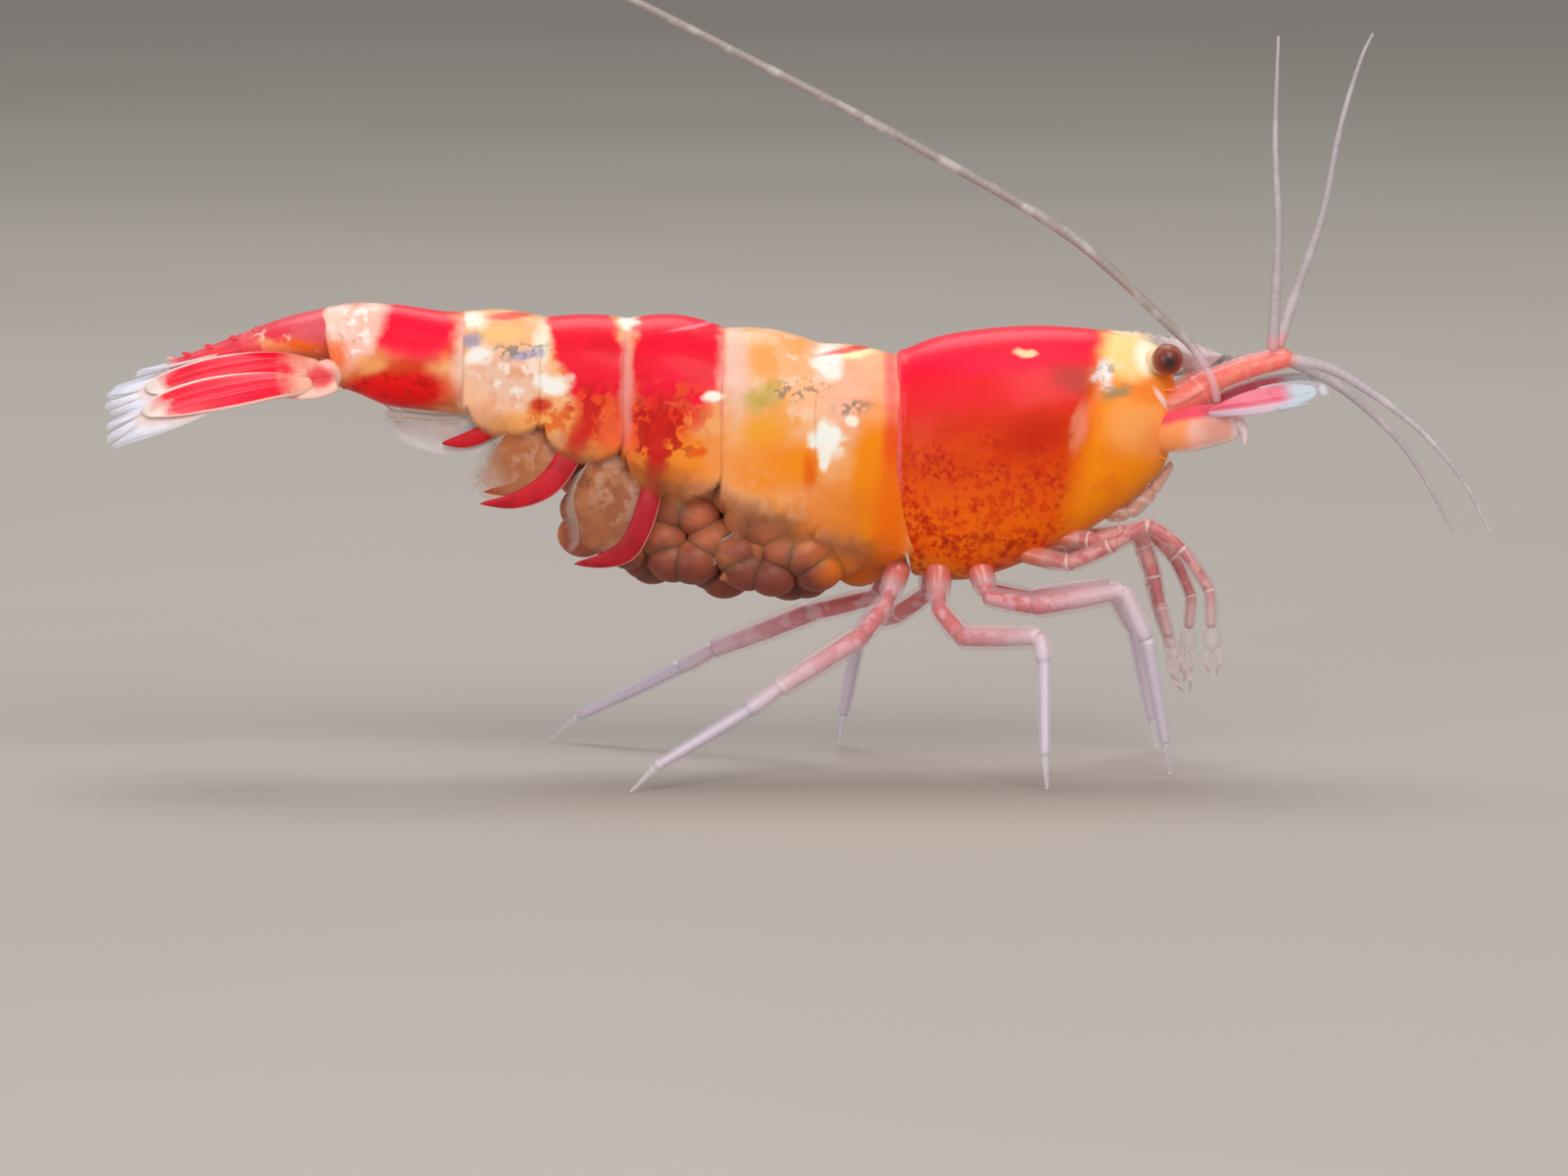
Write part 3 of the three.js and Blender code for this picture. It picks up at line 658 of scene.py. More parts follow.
    def clouds(
        self, colour: str, scale: float, low: float, high: float, strength: float = 1.0, detail: float = 3.0,
        stretch: Point = (1, 1, 1),
    ) -> None:
        """Lays a colour over the cloudier places, from the low level of the clouds to the high."""
        self.over(colour, self.ramp(self.noise(scale, detail, stretch), low, high), strength)

    def relief(self, height: Socket, depth: float, strength: float = 1.0) -> None:
        """Raises the surface by a level, depth millimetres from its lowest to its highest."""
        inputs = {"Height": height, "Distance": depth * MM, "Strength": strength}
        if self.shader.inputs["Normal"].is_linked:
            inputs["Normal"] = self.shader.inputs["Normal"].links[0].from_socket
        made = self.node("ShaderNodeBump", inputs)
        self.tree.links.new(made.outputs[0], self.shader.inputs["Normal"])

    def feed(self, socket: str, level: Socket, low: float, high: float) -> None:
        """Drives one of the shader's numbers from low to high by a level from 0 to 1."""
        made = self.node("ShaderNodeMapRange", {"Value": level, "To Min": low, "To Max": high})
        self.tree.links.new(made.outputs[0], self.shader.inputs[socket])


def spot_group() -> bpy.types.NodeTree:
    """The shared soft patch, oval or boxed: a mask from a place, a middle, a size, a turn and an edge."""
    name = "soft patch"
    if name in bpy.data.node_groups:
        return bpy.data.node_groups[name]
    tree = bpy.data.node_groups.new(name, "ShaderNodeTree")
    for kind, sockets in (("Vector", ("Place", "Middle", "Size")), ("Float", ("Turn", "Edge", "Box"))):
        for socket in sockets:
            tree.interface.new_socket(name=socket, in_out="INPUT", socket_type=f"NodeSocket{kind}")
    tree.interface.new_socket(name="Mask", in_out="OUTPUT", socket_type="NodeSocketFloat")
    given = tree.nodes.new("NodeGroupInput").outputs

    def vector(operation: str, a: Socket, b: object = (1, 1, 1)) -> Socket:
        made = wired(tree, "ShaderNodeVectorMath", {0: a, 1: b}, operation=operation)
        return made.outputs["Value" if operation == "LENGTH" else 0]

    def number(operation: str, a: Level, b: Level = 0.0) -> Socket:
        return wired(tree, "ShaderNodeMath", {0: a, 1: b}, operation=operation).outputs[0]

    turned = {"Vector": given["Place"], "Center": given["Middle"], "Angle": given["Turn"]}
    place = wired(tree, "ShaderNodeVectorRotate", turned, rotation_type="Y_AXIS").outputs[0]
    flat = vector("MULTIPLY", vector("SUBTRACT", place, given["Middle"]), (1, 0, 1))
    share = vector("DIVIDE", flat, given["Size"])
    oval = vector("LENGTH", share)
    box = number("SQRT", vector("LENGTH", vector("MULTIPLY", share, share)))
    reach = wired(tree, "ShaderNodeMix", {0: given["Box"], 2: oval, 3: box}).outputs[0]
    near, far = (number(operation, 1.0, given["Edge"]) for operation in ("SUBTRACT", "ADD"))
    inputs = {"Value": reach, "From Min": near, "From Max": far, "To Min": 1.0, "To Max": 0.0}
    mask = wired(tree, "ShaderNodeMapRange", inputs, interpolation_type="SMOOTHSTEP").outputs[0]
    wired(tree, "NodeGroupOutput", {"Mask": mask})
    return tree


@dataclass(frozen=True)
class Mark:
    """A soft-edged oval patch, placed as the animal is seen from its side."""

    colour: str
    x: float
    z: float
    wide: float
    tall: float
    turn: float = 0.0
    edge: float = 0.45
    strength: float = 1.0
    ragged: float = 0.14
    box: float = 0.0

    def mask(self, paint: Paint) -> Socket:
        """Where the patch is."""
        inputs = {
            "Place": paint.ragged(self.ragged),
            "Middle": (self.x, 0.0, self.z),
            "Size": (self.wide, 1.0, self.tall),
            "Turn": math.radians(self.turn),
            "Edge": self.edge,
            "Box": self.box,
        }
        return paint.node("ShaderNodeGroup", inputs, node_tree=spot_group()).outputs[0]

    def lay(self, paint: Paint) -> None:
        """Paints the patch."""
        paint.over(self.colour, self.mask(paint), self.strength)


@dataclass(frozen=True)
class Wash:
    """A colour that comes in along one of the animal's measures, with a leaning edge."""

    colour: str
    along: str
    clear: float
    full: float
    lean: float = 0.0
    about: float = 8.0
    strength: float = 1.0
    ragged: float = 0.14

    def mask(self, paint: Paint) -> Socket:
        """Where the wash is."""
        level: Level = paint.axis(self.along, self.ragged)
        if self.lean:
            other = paint.axis("z" if self.along == "x" else "x", self.ragged)
            tilt = paint.times(paint.math("SUBTRACT", other, self.about), self.lean)
            level = paint.math("SUBTRACT", level, tilt)
        return paint.ramp(level, self.clear, self.full)

    def lay(self, paint: Paint) -> None:
        """Paints the wash."""
        paint.over(self.colour, self.mask(paint), self.strength)


@dataclass(frozen=True)
class Specks:
    """Small scattered dots, inside a patch where one is given."""

    colour: str
    scale: float
    size: float
    within: Union[Mark, Wash, None] = None
    stretch: Point = (1, 1, 1)
    strength: float = 0.68

    def lay(self, paint: Paint) -> None:
        """Paints the dots, thicker in some places than others."""
        cells = paint.cells(self.scale, shake=0.05, stretch=self.stretch)
        dots = paint.ramp(cells, self.size, self.size * 0.45)
        mask = paint.times(dots, paint.ramp(paint.noise(1.6), 0.36, 0.6))
        if self.within:
            mask = paint.times(mask, self.within.mask(paint))
        paint.over(self.colour, mask, self.strength)


@dataclass(frozen=True)
class Mottle:
    """Ragged blots and threads of pigment inside a patch."""

    colour: str
    scale: float
    within: Union[Mark, Wash, None] = None
    low: float = 0.5
    high: float = 0.57
    strength: float = 0.9
    stretch: Point = (1, 1, 1)

    def lay(self, paint: Paint) -> None:
        """Paints the blots."""
        mask = paint.ramp(paint.noise(self.scale, 6.0, self.stretch), self.low, self.high)
        if self.within:
            mask = paint.times(mask, self.within.mask(paint))
        paint.over(self.colour, mask, self.strength)


Layer = Union[Mark, Wash, Specks, Mottle]


@dataclass(frozen=True)
class ShellFinish:
    """Glossy shell over pigment: a ground colour and the layers laid over it, a few of which are painted
    highlights.
    """

    name: str
    ground: str
    layers: tuple[Layer, ...]
    roughness: float = 0.42
    coat: float = 0.12
    soft: float = 0.12
    thins: tuple[Union[Mark, Wash], ...] = ()
    thinnest: float = 1.0
    hem: float = 0.0

    def made(self, place: Ground) -> Material:
        """Mixes the material.

        Args:
            place: where the animal's measures lie.

        Returns:
            The material.
        """
        paint = Paint(
            self.name,
            self.ground,
            place,
            Roughness=self.roughness,
            Specular_IOR_Level=0.14,
            Coat_Weight=self.coat,
            Coat_Roughness=0.16,
            Subsurface_Weight=self.soft,
            Subsurface_Scale=0.35 * MM,
        )
        for layer in self.layers:
            layer.lay(paint)
        if self.thins:
            thin = self.thins[0].mask(paint)
            for wash in self.thins[1:]:
                thin = paint.times(thin, wash.mask(paint))
            if self.hem:
                u, v = (paint.off(paint.chart(name), 0.5) for name in "uv")
                shaken = paint.shaken(v, 2.6, 0.05)
                open_ = paint.most(paint.ramp(shaken, 0.5 - self.hem, 0.5), paint.ramp(u, 0.455, 0.5))
                thin = paint.most(thin, open_)
            paint.feed("Alpha", thin, 1.0, self.thinnest)
        paint.relief(paint.noise(12, 4), 0.004)
        paint.feed("Roughness", paint.noise(5), self.roughness - 0.08, self.roughness + 0.1)
        return paint.material


class Finish:
    """The shell's finishes, plate by plate."""

    CARAPACE = ShellFinish(
        "head shell",
        "#d84402",
        (
            Mottle("#e23a00", 1.5, None, 0.46, 0.66, 0.6),
            Wash("#fb7400", "z", 7.2, 5.4, 0, 8, 0.75),
            Mottle("#ee5200", 2.2, None, 0.5, 0.6, 0.45),
            Wash("#e28a18", "z", 4.95, 4.45, -0.25, 1.0, 0.75),
            Wash("#dc2c04", "z", 7.2, 8.0, 0.05, 2.0, 0.9, 0.3),
            Wash("#f0202a", "z", 7.9, 8.6, 0.08, 2.0, 1.0, 0.3),
            Wash("#fb0c3a", "z", 8.75, 9.2, 0.1, 2.0, 0.9, 0.2),
            # Painted highlight: a soft pink sheen where the light reflects off the upper flank of the head
            # shell.
            Mark("#ff3c5c", 2.9, 9.3, 1.5, 0.26, 4, 0.7, 0.4),
            Mark("#b42a18", 4.1, 8.85, 0.62, 0.3, -14, 0.7, 0.8),
            Mark("#c41e02", 3.1, 7.6, 0.75, 0.45, 10, 0.7, 0.75, 0.3),
            Mottle("#cc1c00", 5.0, Wash("", "z", 7.7, 6.8), 0.52, 0.58, 0.5),
            Specks("#b81400", 5.2, 0.5, Wash("", "z", 7.9, 6.8)),
            Specks("#b41000", 8.0, 0.55, Mark("", 1.4, 6.2, 1.5, 1.5, -20, 0.5)),
            Specks("#a01402", 3.2, 0.42, Wash("", "z", 5.7, 5.1), (1, 1, 0.35)),
            Wash("#ff9004", "x", 3.95, 4.7, 0.22),
            Mottle("#f47a10", 2.4, Mark("", 4.6, 7.0, 0.5, 1.1, 10, 0.6), 0.46, 0.66, 0.7),
            Mark("#ffa85a", 5.45, 7.85, 0.75, 0.6, 0, 0.6),
            Mark("#fb8a30", 5.75, 8.6, 0.5, 0.3, 0, 0.6),
            Mark("#fbdd94", 5.35, 9.42, 0.72, 0.6, 0, 0.35),
            Mark("#fffbe6", 5.6, 9.35, 0.22, 0.35, 0, 0.6, 0.9),
            Mark("#a58c62", 4.92, 8.55, 0.36, 0.17, 8, 0.6, 0.85, 0.3),
            Mark("#f1ebe8", 4.7, 8.98, 0.19, 0.3, -8, 0.5, 1.0, 0.34),
            Mottle("#a8927c", 5.0, Mark("", 4.7, 8.9, 0.3, 0.4, 0, 0.5), 0.54, 0.6, 0.7),
            # Painted highlight: the small bright glint inside the pink sheen of the head shell.
            Mark("#ffdaa8", 2.93, 9.44, 0.24, 0.1, 0, 0.4),
            Mark("#f2947a", 4.12, 7.85, 0.16, 0.5, -10, 0.6, 0.6, 0.14),
            Mark("#fb9450", 5.95, 7.4, 0.4, 0.4, 0, 0.7, 0.8),
            Mark("#fcd6cc", 6.0, 8.35, 0.07, 0.32, 34, 0.5, 0.95, 0.05),
            Mark("#fcd6cc", 6.22, 8.1, 0.06, 0.34, -18, 0.5, 0.95, 0.05),
            Mark("#ffe0cc", 6.3, 8.9, 0.05, 0.3, 26, 0.5, 0.9, 0.02),
            Wash("#ff8a90", "x", 0.2, 0.06, 0, 8, 0.5, 0.03),
        ),
    )
    RINGS = ShellFinish(
        "abdomen rings",
        "#fdb884",
        (
            Mottle("#fda04c", 1.3, None, 0.46, 0.62, 0.7),
            Mottle("#fdd3b4", 2.2, None, 0.54, 0.66, 0.6),
            # first and second rings
            Mark("#fbb79c", -0.95, 8.45, 0.7, 1.0, 0, 0.6, 0.85),
            Mark("#fc8c06", -0.35, 6.4, 0.75, 1.9, 0, 0.4, 1.0, 0.24),
            Mark("#fda63a", -2.9, 7.7, 0.5, 0.45, 0, 0.6),
            Mark("#fe9c0c", -2.1, 7.0, 0.5, 0.4, 0, 0.6),
            Mark("#fd8c18", -2.7, 6.9, 1.2, 0.62, 0, 0.6, 0.85, 0.24),
            Mark("#c9a848", -3.0, 8.5, 0.5, 0.28, 10, 0.7, 0.9, 0.34),
            Mottle("#8c7464", 6.0, Mark("", -2.15, 8.62, 0.66, 0.22, 8, 0.5), 0.5, 0.56, 0.75),
            Mottle("#8a746a", 6.0, Mark("", -0.95, 8.24, 0.4, 0.17, 6, 0.5), 0.48, 0.54, 0.8),
            Mark("#fffaf2", -1.5, 7.55, 0.3, 0.42, 14, 0.4, 1.0, 0.34),
            Mark("#fff4e6", -1.56, 7.15, 0.12, 0.3, 0, 0.4, 1.0, 0.1),
            Mark("#fff0dc", -0.95, 7.95, 0.14, 0.12, 0, 0.4, 1.0, 0.14),
            Mark("#f06008", -1.9, 6.75, 0.14, 0.4, 0, 0.6, 0.9),
            Mark("#fdf0b4", -1.05, 9.36, 0.62, 0.12, 8, 0.5),
            Mark("#fff6ee", -1.5, 9.2, 0.34, 0.34, 0, 0.5, 0.95, 0.3),
            Mark("#f03220", -0.85, 9.47, 0.8, 0.06, 8, 0.5, 0.95, 0.05),
            Mark("#ff6e6c", -0.06, 8.85, 0.16, 0.95, 0, 0.6, 0.85, 0.08),
            Mark("#f0480e", -0.02, 7.4, 0.24, 0.8, 0, 0.6, 0.9, 0.1),
            Mark("#f8c6bc", -3.55, 9.1, 0.26, 0.9, 0, 0.8, 0.8, 0.2),
            # third and fourth rings
            Mark("#fb8c2a", -5.4, 7.3, 1.6, 1.0, -8, 0.4, 1.0, 0.24),
            Mark("#fdb070", -4.2, 7.9, 0.4, 0.3, 0, 0.6, 0.9, 0.24),
            Mark("#f04414", -5.8, 7.95, 1.3, 0.6, 8, 0.6, 0.9, 0.3),
            Mark("#fb0634", -4.86, 9.5, 1.0, 1.22, -3, 0.16, 1.0, 0.26, 1.0),
            Mark("#f91030", -6.8, 9.5, 0.72, 1.24, 20, 0.18, 1.0, 0.26, 1.0),
            Mottle("#e60a20", 1.4, Mark("", -5.6, 9.3, 1.7, 0.9, 0, 0.2), 0.46, 0.66, 0.6),
            Mottle("#f02818", 2.4, Mark("", -5.2, 8.05, 1.1, 0.45, 4, 0.6), 0.47, 0.56, 0.95),
            Mottle("#f4541c", 2.2, Mark("", -5.0, 8.55, 1.1, 0.26, 0, 0.6), 0.52, 0.6, 0.7),
            Mottle("#c01208", 3.6, Mark("", -5.35, 7.7, 0.95, 0.8, 0, 0.5), 0.46, 0.53, 0.95),
            Mottle("#f4541c", 2.6, Mark("", -6.5, 8.3, 0.6, 0.4, 0, 0.6), 0.48, 0.58, 0.9),
            Mottle("#c8160c", 3.6, Mark("", -6.9, 8.0, 0.5, 0.7, -20, 0.5), 0.46, 0.53, 0.9),
            Mark("#d0160e", -5.28, 7.4, 0.22, 1.0, -5, 0.5, 0.95, 0.12),
            Mark("#fb7040", -6.25, 7.6, 0.4, 0.5, 0, 0.7, 0.6, 0.24),
            Mark("#d61a14", -7.0, 7.66, 0.25, 0.66, -24, 0.5, 0.95, 0.1),
            Mark("#f26010", -4.35, 7.25, 0.18, 0.12, 0, 0.5),
            Mark("#f5888c", -3.86, 9.0, 0.1, 0.9, 0, 0.8, 0.6, 0.1),
            # Painted highlight: a small bright white glint on the front of the third ring.
            Mark("#fff8ec", -4.05, 8.5, 0.26, 0.13, 0, 0.4),
            Mark("#ff8ea0", -4.5, 9.98, 0.5, 0.035, 9, 0.6, 0.7, 0.02),
            Mark("#f39a92", -5.97, 8.9, 0.13, 1.1, 0, 0.7, 0.85, 0.1),
            # Painted highlight: a pale glint on the top of the third ring's rear rim.
            Mark("#fff4e8", -5.95, 10.08, 0.2, 0.12, 0, 0.5),
            # fourth and fifth rings
            Mark("#f5c4ae", -8.75, 8.8, 0.95, 0.65, 0, 0.6, 0.95, 0.3),
            Mottle("#eb9468", 2.6, Mark("", -8.6, 8.7, 0.9, 0.7, 0, 0.6), 0.5, 0.66, 0.6),
            Mottle("#fff0e4", 3.4, Mark("", -8.6, 8.9, 0.8, 0.6, 0, 0.6), 0.54, 0.62, 0.75),
            Mark("#fba552", -8.1, 7.85, 0.8, 0.35, 0, 0.6, 0.8, 0.24),
            Mark("#fbbc94", -9.5, 8.2, 0.45, 0.6, 0, 0.7, 0.9, 0.24),
            Mark("#fcc684", -8.8, 9.85, 0.6, 0.14, 0, 0.6),
            Mark("#fff2dc", -9.4, 10.1, 0.3, 0.16, 0, 0.5),
            Mark("#fff2dc", -7.85, 9.6, 0.2, 0.4, 0, 0.6, 0.9),
            Mark("#f04030", -8.6, 10.2, 0.5, 0.07, 2, 0.5, 0.95, 0.04),
            Mark("#b5a5c0", -8.2, 9.42, 0.42, 0.13, 6, 0.5, 0.95, 0.24),
            Mottle("#8a7a72", 5.0, Mark("", -8.45, 9.5, 0.7, 0.16, 4, 0.6), 0.48, 0.55, 0.8),
            Mark("#ab9bb2", -9.42, 9.7, 0.22, 0.17, 20, 0.5, 0.95, 0.16),
            Mark("#fff8f0", -9.3, 9.4, 0.3, 0.16, 20, 0.5, 0.9, 0.14),
            Mark("#fffaf2", -7.66, 8.72, 0.36, 0.22, 0, 0.5, 1.0, 0.3),
            Mark("#d23a20", -7.9, 8.28, 0.24, 0.14, 0, 0.5),
            Mottle("#e8560e", 3.0, Mark("", -7.7, 8.0, 0.5, 0.35, 0, 0.5), 0.46, 0.56, 0.8),
            Wash("#ac6038", "z", 6.85, 5.95, -0.32, -4.2, 0.8, 0.3),
            Mark("#ee7c18", -1.35, 5.95, 0.9, 0.6, 0, 0.7, 0.8, 0.2),
            Mark("#f66c04", -0.05, 5.7, 0.42, 1.3, 0, 0.6, 0.95, 0.14),
        ),
        thins=(
            Wash("", "z", 6.9, 5.75, -0.36, -4.2, 1.0, 0.3),
            Wash("", "x", -6.6, -5.9, 0.0, 8.0, 1.0, 0.2),
        ),
        thinnest=0.07,
        hem=0.05,
    )
    LAST_RING = ShellFinish(
        "tail ring",
        "#f29a5c",
        (
            Mottle("#cc5a2a", 1.5, None, 0.46, 0.6, 0.8),
            Mark("#da3a14", -10.9, 9.0, 1.0, 0.35, 4, 0.6, 0.85, 0.24),
            Mark("#fbb478", -10.0, 8.9, 0.34, 0.42, 0, 0.7, 0.9, 0.24),
            Mark("#fa0838", -10.78, 9.98, 1.1, 0.7, -6, 0.3, 1.0, 0.14),
            Mark("#f8d8c8", -9.35, 9.2, 0.42, 1.0, 0, 0.6, 0.95, 0.24),
            Mark("#fbbc94", -9.4, 8.2, 0.4, 0.5, 0, 0.7, 0.9, 0.24),
            Mark("#fdc4b4", -12.0, 9.8, 0.45, 1.0, -34, 0.35, 1.0, 0.2),
            Mark("#fdd8cc", -12.45, 10.1, 0.4, 0.4, 0, 0.5, 0.9, 0.14),
            Mottle("#fff4ee", 3.2, Mark("", -12.1, 9.85, 0.45, 0.75, -20, 0.5), 0.5, 0.58, 0.85),
            Mottle("#e0a890", 4.0, Mark("", -12.2, 9.6, 0.4, 0.6, -20, 0.5), 0.56, 0.62, 0.7),
            Mark("#fdb070", -11.7, 9.15, 0.34, 0.22, 0, 0.6, 0.8, 0.2),
            Mark("#ee1212", -11.2, 8.5, 1.32, 0.44, 6, 0.3, 1.0, 0.14, 0.5),
            Mottle("#a80a06", 3.4, Mark("", -11.2, 8.6, 1.1, 0.34, 6, 0.5), 0.52, 0.6, 0.6),
            Mark("#fb7020", -12.5, 9.3, 0.3, 0.4, 0, 0.6, 0.9),
        ),
    )
    STALK = ShellFinish(
        "eyestalk", "#fbdcb4", (Mottle("#f8b894", 4, None, 0.5, 0.7, 0.6), Wash("#f4b8a8", "x", 5.95, 6.25))
    )
    TELSON = ShellFinish(
        "telson",
        "#e83e50",
        (
            Mottle("#f06a6c", 1.8, None, 0.48, 0.64, 0.6),
            Mark("#e0606c", -13.0, 9.85, 0.5, 0.35, 0, 0.6, 0.8),
            Mark("#fc7a2c", -13.2, 9.42, 0.6, 0.26, -8, 0.6),
            Mark("#fbb070", -13.8, 9.5, 0.4, 0.14, -14, 0.6, 0.8, 0.24),
            Mark("#fb4a50", -14.9, 9.2, 0.6, 0.2, -14, 0.6, 0.8),
            Mottle("#fbc9bc", 4.0, Mark("", -13.7, 9.6, 0.8, 0.2, -16, 0.5), 0.56, 0.62, 0.8),
            Wash("#f6d6cc", "x", -16.0, -16.4, 0, 8, 0.9),
        ),
    )
    FIN_STEM = ShellFinish(
        "fin stem",
        "#fbcabc",
        (
            Mottle("#f4a090", 2.6, None, 0.48, 0.6, 0.6),
            Mark("#e8444e", -12.82, 8.9, 0.34, 0.22, -6, 0.5, 0.95, 0.1),
        ),
        soft=0.2,
    )


@dataclass(frozen=True)
class EyeFinish:
    """A dark compound eye under a clear cornea, with a painted highlight lightening its top."""

    eye: "Eyes"
    side: Side

    def made(self, place: Ground) -> Material:
        """Mixes the material for one eye."""
        name = f"eye {self.side.label}"
        paint = Paint(name, "#964030", place, Roughness=0.4, Coat_Weight=0.3, Coat_Roughness=0.08)
        x, y, z = self.eye.centre(self.side)
        pole = (x + 0.04, y + self.side.value * self.eye.radius, z - 0.03)
        off = paint.node("ShaderNodeVectorMath", {0: paint.ragged(0.03, 8.0), 1: pole}, operation="DISTANCE")
        reach = off.outputs["Value"]
        paint.clouds("#b06a50", 7.0, 0.52, 0.66, 0.5)
        paint.over("#6c150c", paint.ramp(reach, 0.36, 0.2), 0.85)
        paint.over("#260506", paint.ramp(reach, 0.22, 0.05))
        # Painted highlight: the top of the eye is lightened where the light falls on it.
        paint.over("#a8604c", paint.ramp(paint.axis("z"), z + 0.14, z + 0.36), 0.5)
        paint.relief(paint.cells(26), 0.012, 0.6)
        return paint.material


@dataclass(frozen=True)
class BladeFinish:
    """Thin fin or scale: pigment down its middle, pale ribs and rims, clearing to its tip."""

    name: str
    pigment: str
    deep: str
    base: str
    rim: str
    tip: str
    clears: tuple[float, float] = (0.78, 0.95)
    low_rim: float = 0.16
    high_rim: float = 0.08
    open_tip: float = 0.7
    body: float = 1.0

    def made(self, place: Ground) -> Material:
        """Mixes the material."""
        paint = Paint(
            self.name, self.pigment, place, Roughness=0.42, Specular_IOR_Level=0.2, Coat_Weight=0.08,
            Coat_Roughness=0.15, Subsurface_Weight=0.12, Subsurface_Scale=0.25 * MM,
        )
        u, v = paint.chart("u"), paint.chart("v")
        shaken = paint.shaken(u, 3.0, 0.22)
        paint.clouds(self.deep, 2.2, 0.44, 0.62, 0.7)
        paint.over(self.base, paint.ramp(shaken, 0.26, 0.04), 0.9)
        for rib in (0.34, 0.64):
            line = paint.off(v, rib)
            paint.over(self.rim, paint.ramp(line, 0.016, 0.004), 0.16)
        paint.over(self.rim, paint.ramp(v, self.high_rim, self.high_rim * 0.3), 0.9)
        paint.over(self.rim, paint.ramp(v, 1 - self.low_rim, 1 - self.low_rim * 0.5), 0.95)
        clear = paint.ramp(shaken, *self.clears)
        paint.over(self.tip, clear)
        paint.feed("Alpha", clear, self.body, self.open_tip)
        paint.relief(paint.noise(10, 3, (0.3, 1, 1)), 0.005)
        return paint.material


@dataclass(frozen=True)
class ClearFinish:
    """Clear outer cuticle of a limb, whiter at its joints and toward its end."""

    name: str
    tint: str
    joint: str
    segments: int
    alpha: float = 0.5
    far: str = "#e6e4f2"
    whiteness: float = 0.5
    root: str = ""

    def made(self, place: Ground) -> Material:
        """Mixes the material."""
        paint = Paint(self.name, self.tint, place, Roughness=0.25, Coat_Weight=0.35, Coat_Roughness=0.08)
        whole = paint.times(paint.chart("u"), float(self.segments))
        part = paint.math("FRACT", whole)
        edge = paint.off(part, 0.5)
        joint = paint.ramp(edge, 0.44, 0.497)
        paint.over(self.far, paint.ramp(whole, self.segments - 2.4, self.segments - 1.9))
        paint.clouds("#fff4f6", 5.0, 0.52, 0.66, self.whiteness)
        paint.over(self.joint, joint, 0.6)
        solid = joint
        if self.root:
            near = paint.ramp(whole, 0.85, 0.35)
            paint.over(self.root, near, 0.85)
            solid = paint.most(joint, near)
        paint.feed("Alpha", solid, self.alpha, 0.85)
        paint.relief(paint.noise(16, 3), 0.003)
        return paint.material


@dataclass(frozen=True)
class CoreFinish:
    """Pigment inside a limb, blotched red near its hip and fading to its tip."""

    name: str
    red: str
    pale: str
    fades: tuple[float, float]
    far: str = "#cfc9dc"
    whiteness: float = 0.4

    def made(self, place: Ground) -> Material:
        """Mixes the material."""
        paint = Paint(
            self.name, self.pale, place, Roughness=0.45, Subsurface_Weight=0.2, Subsurface_Scale=0.2 * MM
        )
        u = paint.chart("u")
        near = paint.ramp(u, self.fades[1], self.fades[0])
        paint.over(self.red, paint.times(paint.ramp(paint.noise(2.0, 4.0), 0.45, 0.52), near))
        paint.clouds("#f6dde0", 4.2, 0.52, 0.62, self.whiteness)
        paint.over(self.far, paint.ramp(u, *self.fades), 0.9)
        return paint.material


@dataclass(frozen=True)
class FeelerFinish:
    """A fine ringed feeler, half clear."""

    name: str
    colour: str
    root: str
    rings: float
    rooted: float
    alpha: float
    root_alpha: float

    def made(self, place: Ground) -> Material:
        """Mixes the material."""
        paint = Paint(self.name, self.colour, place, Roughness=0.4, Coat_Weight=0.2)
        u = paint.chart("u")
        wave = paint.math("SINE", paint.times(u, self.rings * 2 * math.pi))
        paint.over("#8f8680", paint.ramp(wave, 0.2, 1.0), 0.14)
        paint.clouds("#f0ebee", 1.6, 0.48, 0.64, 0.35)
        root = paint.ramp(u, self.rooted, self.rooted * 0.5)
        paint.over(self.root, root, 0.9)
        paint.feed("Alpha", root, self.alpha, self.root_alpha)
        paint.feed("Roughness", paint.ramp(wave, -1.0, 1.0), 0.32, 0.5)
        return paint.material


@dataclass(frozen=True)
class StripeFinish:
    """The crimson stripe of a swimmeret, with a thin pale front edge."""

    name: str
    stripe: str
    deep: str
    root: str
    spans: tuple[float, float] = (0.98, 1.02)

    def made(self, place: Ground) -> Material:
        """Mixes the material."""
        paint = Paint(self.name, "#cfb9ae", place, Roughness=0.5, Specular_IOR_Level=0.2, Coat_Weight=0.05)
        u, v = paint.chart("u"), paint.chart("v")
        shaken = paint.shaken(u, 3.0, 0.16)
        paint.clouds("#e8dcd4", 6.0, 0.5, 0.62, 0.6, 2.0, stretch=(1, 1, 0.4))
        stripe = paint.ramp(shaken, self.spans[1], self.spans[0])
        paint.over(self.stripe, stripe)
        paint.over(self.deep, paint.times(stripe, paint.ramp(paint.noise(2.4, 5.0), 0.46, 0.6)), 0.8)
        paint.over(self.root, paint.ramp(shaken, 0.3, 0.08), 0.9)
        edge = paint.ramp(v, 0.93, 0.98)
        paint.over("#f6c2b4", edge, 0.6)
        paint.feed("Alpha", paint.most(stripe, edge), 0.4, 0.97)
        paint.relief(paint.noise(12, 3), 0.004)
        return paint.material


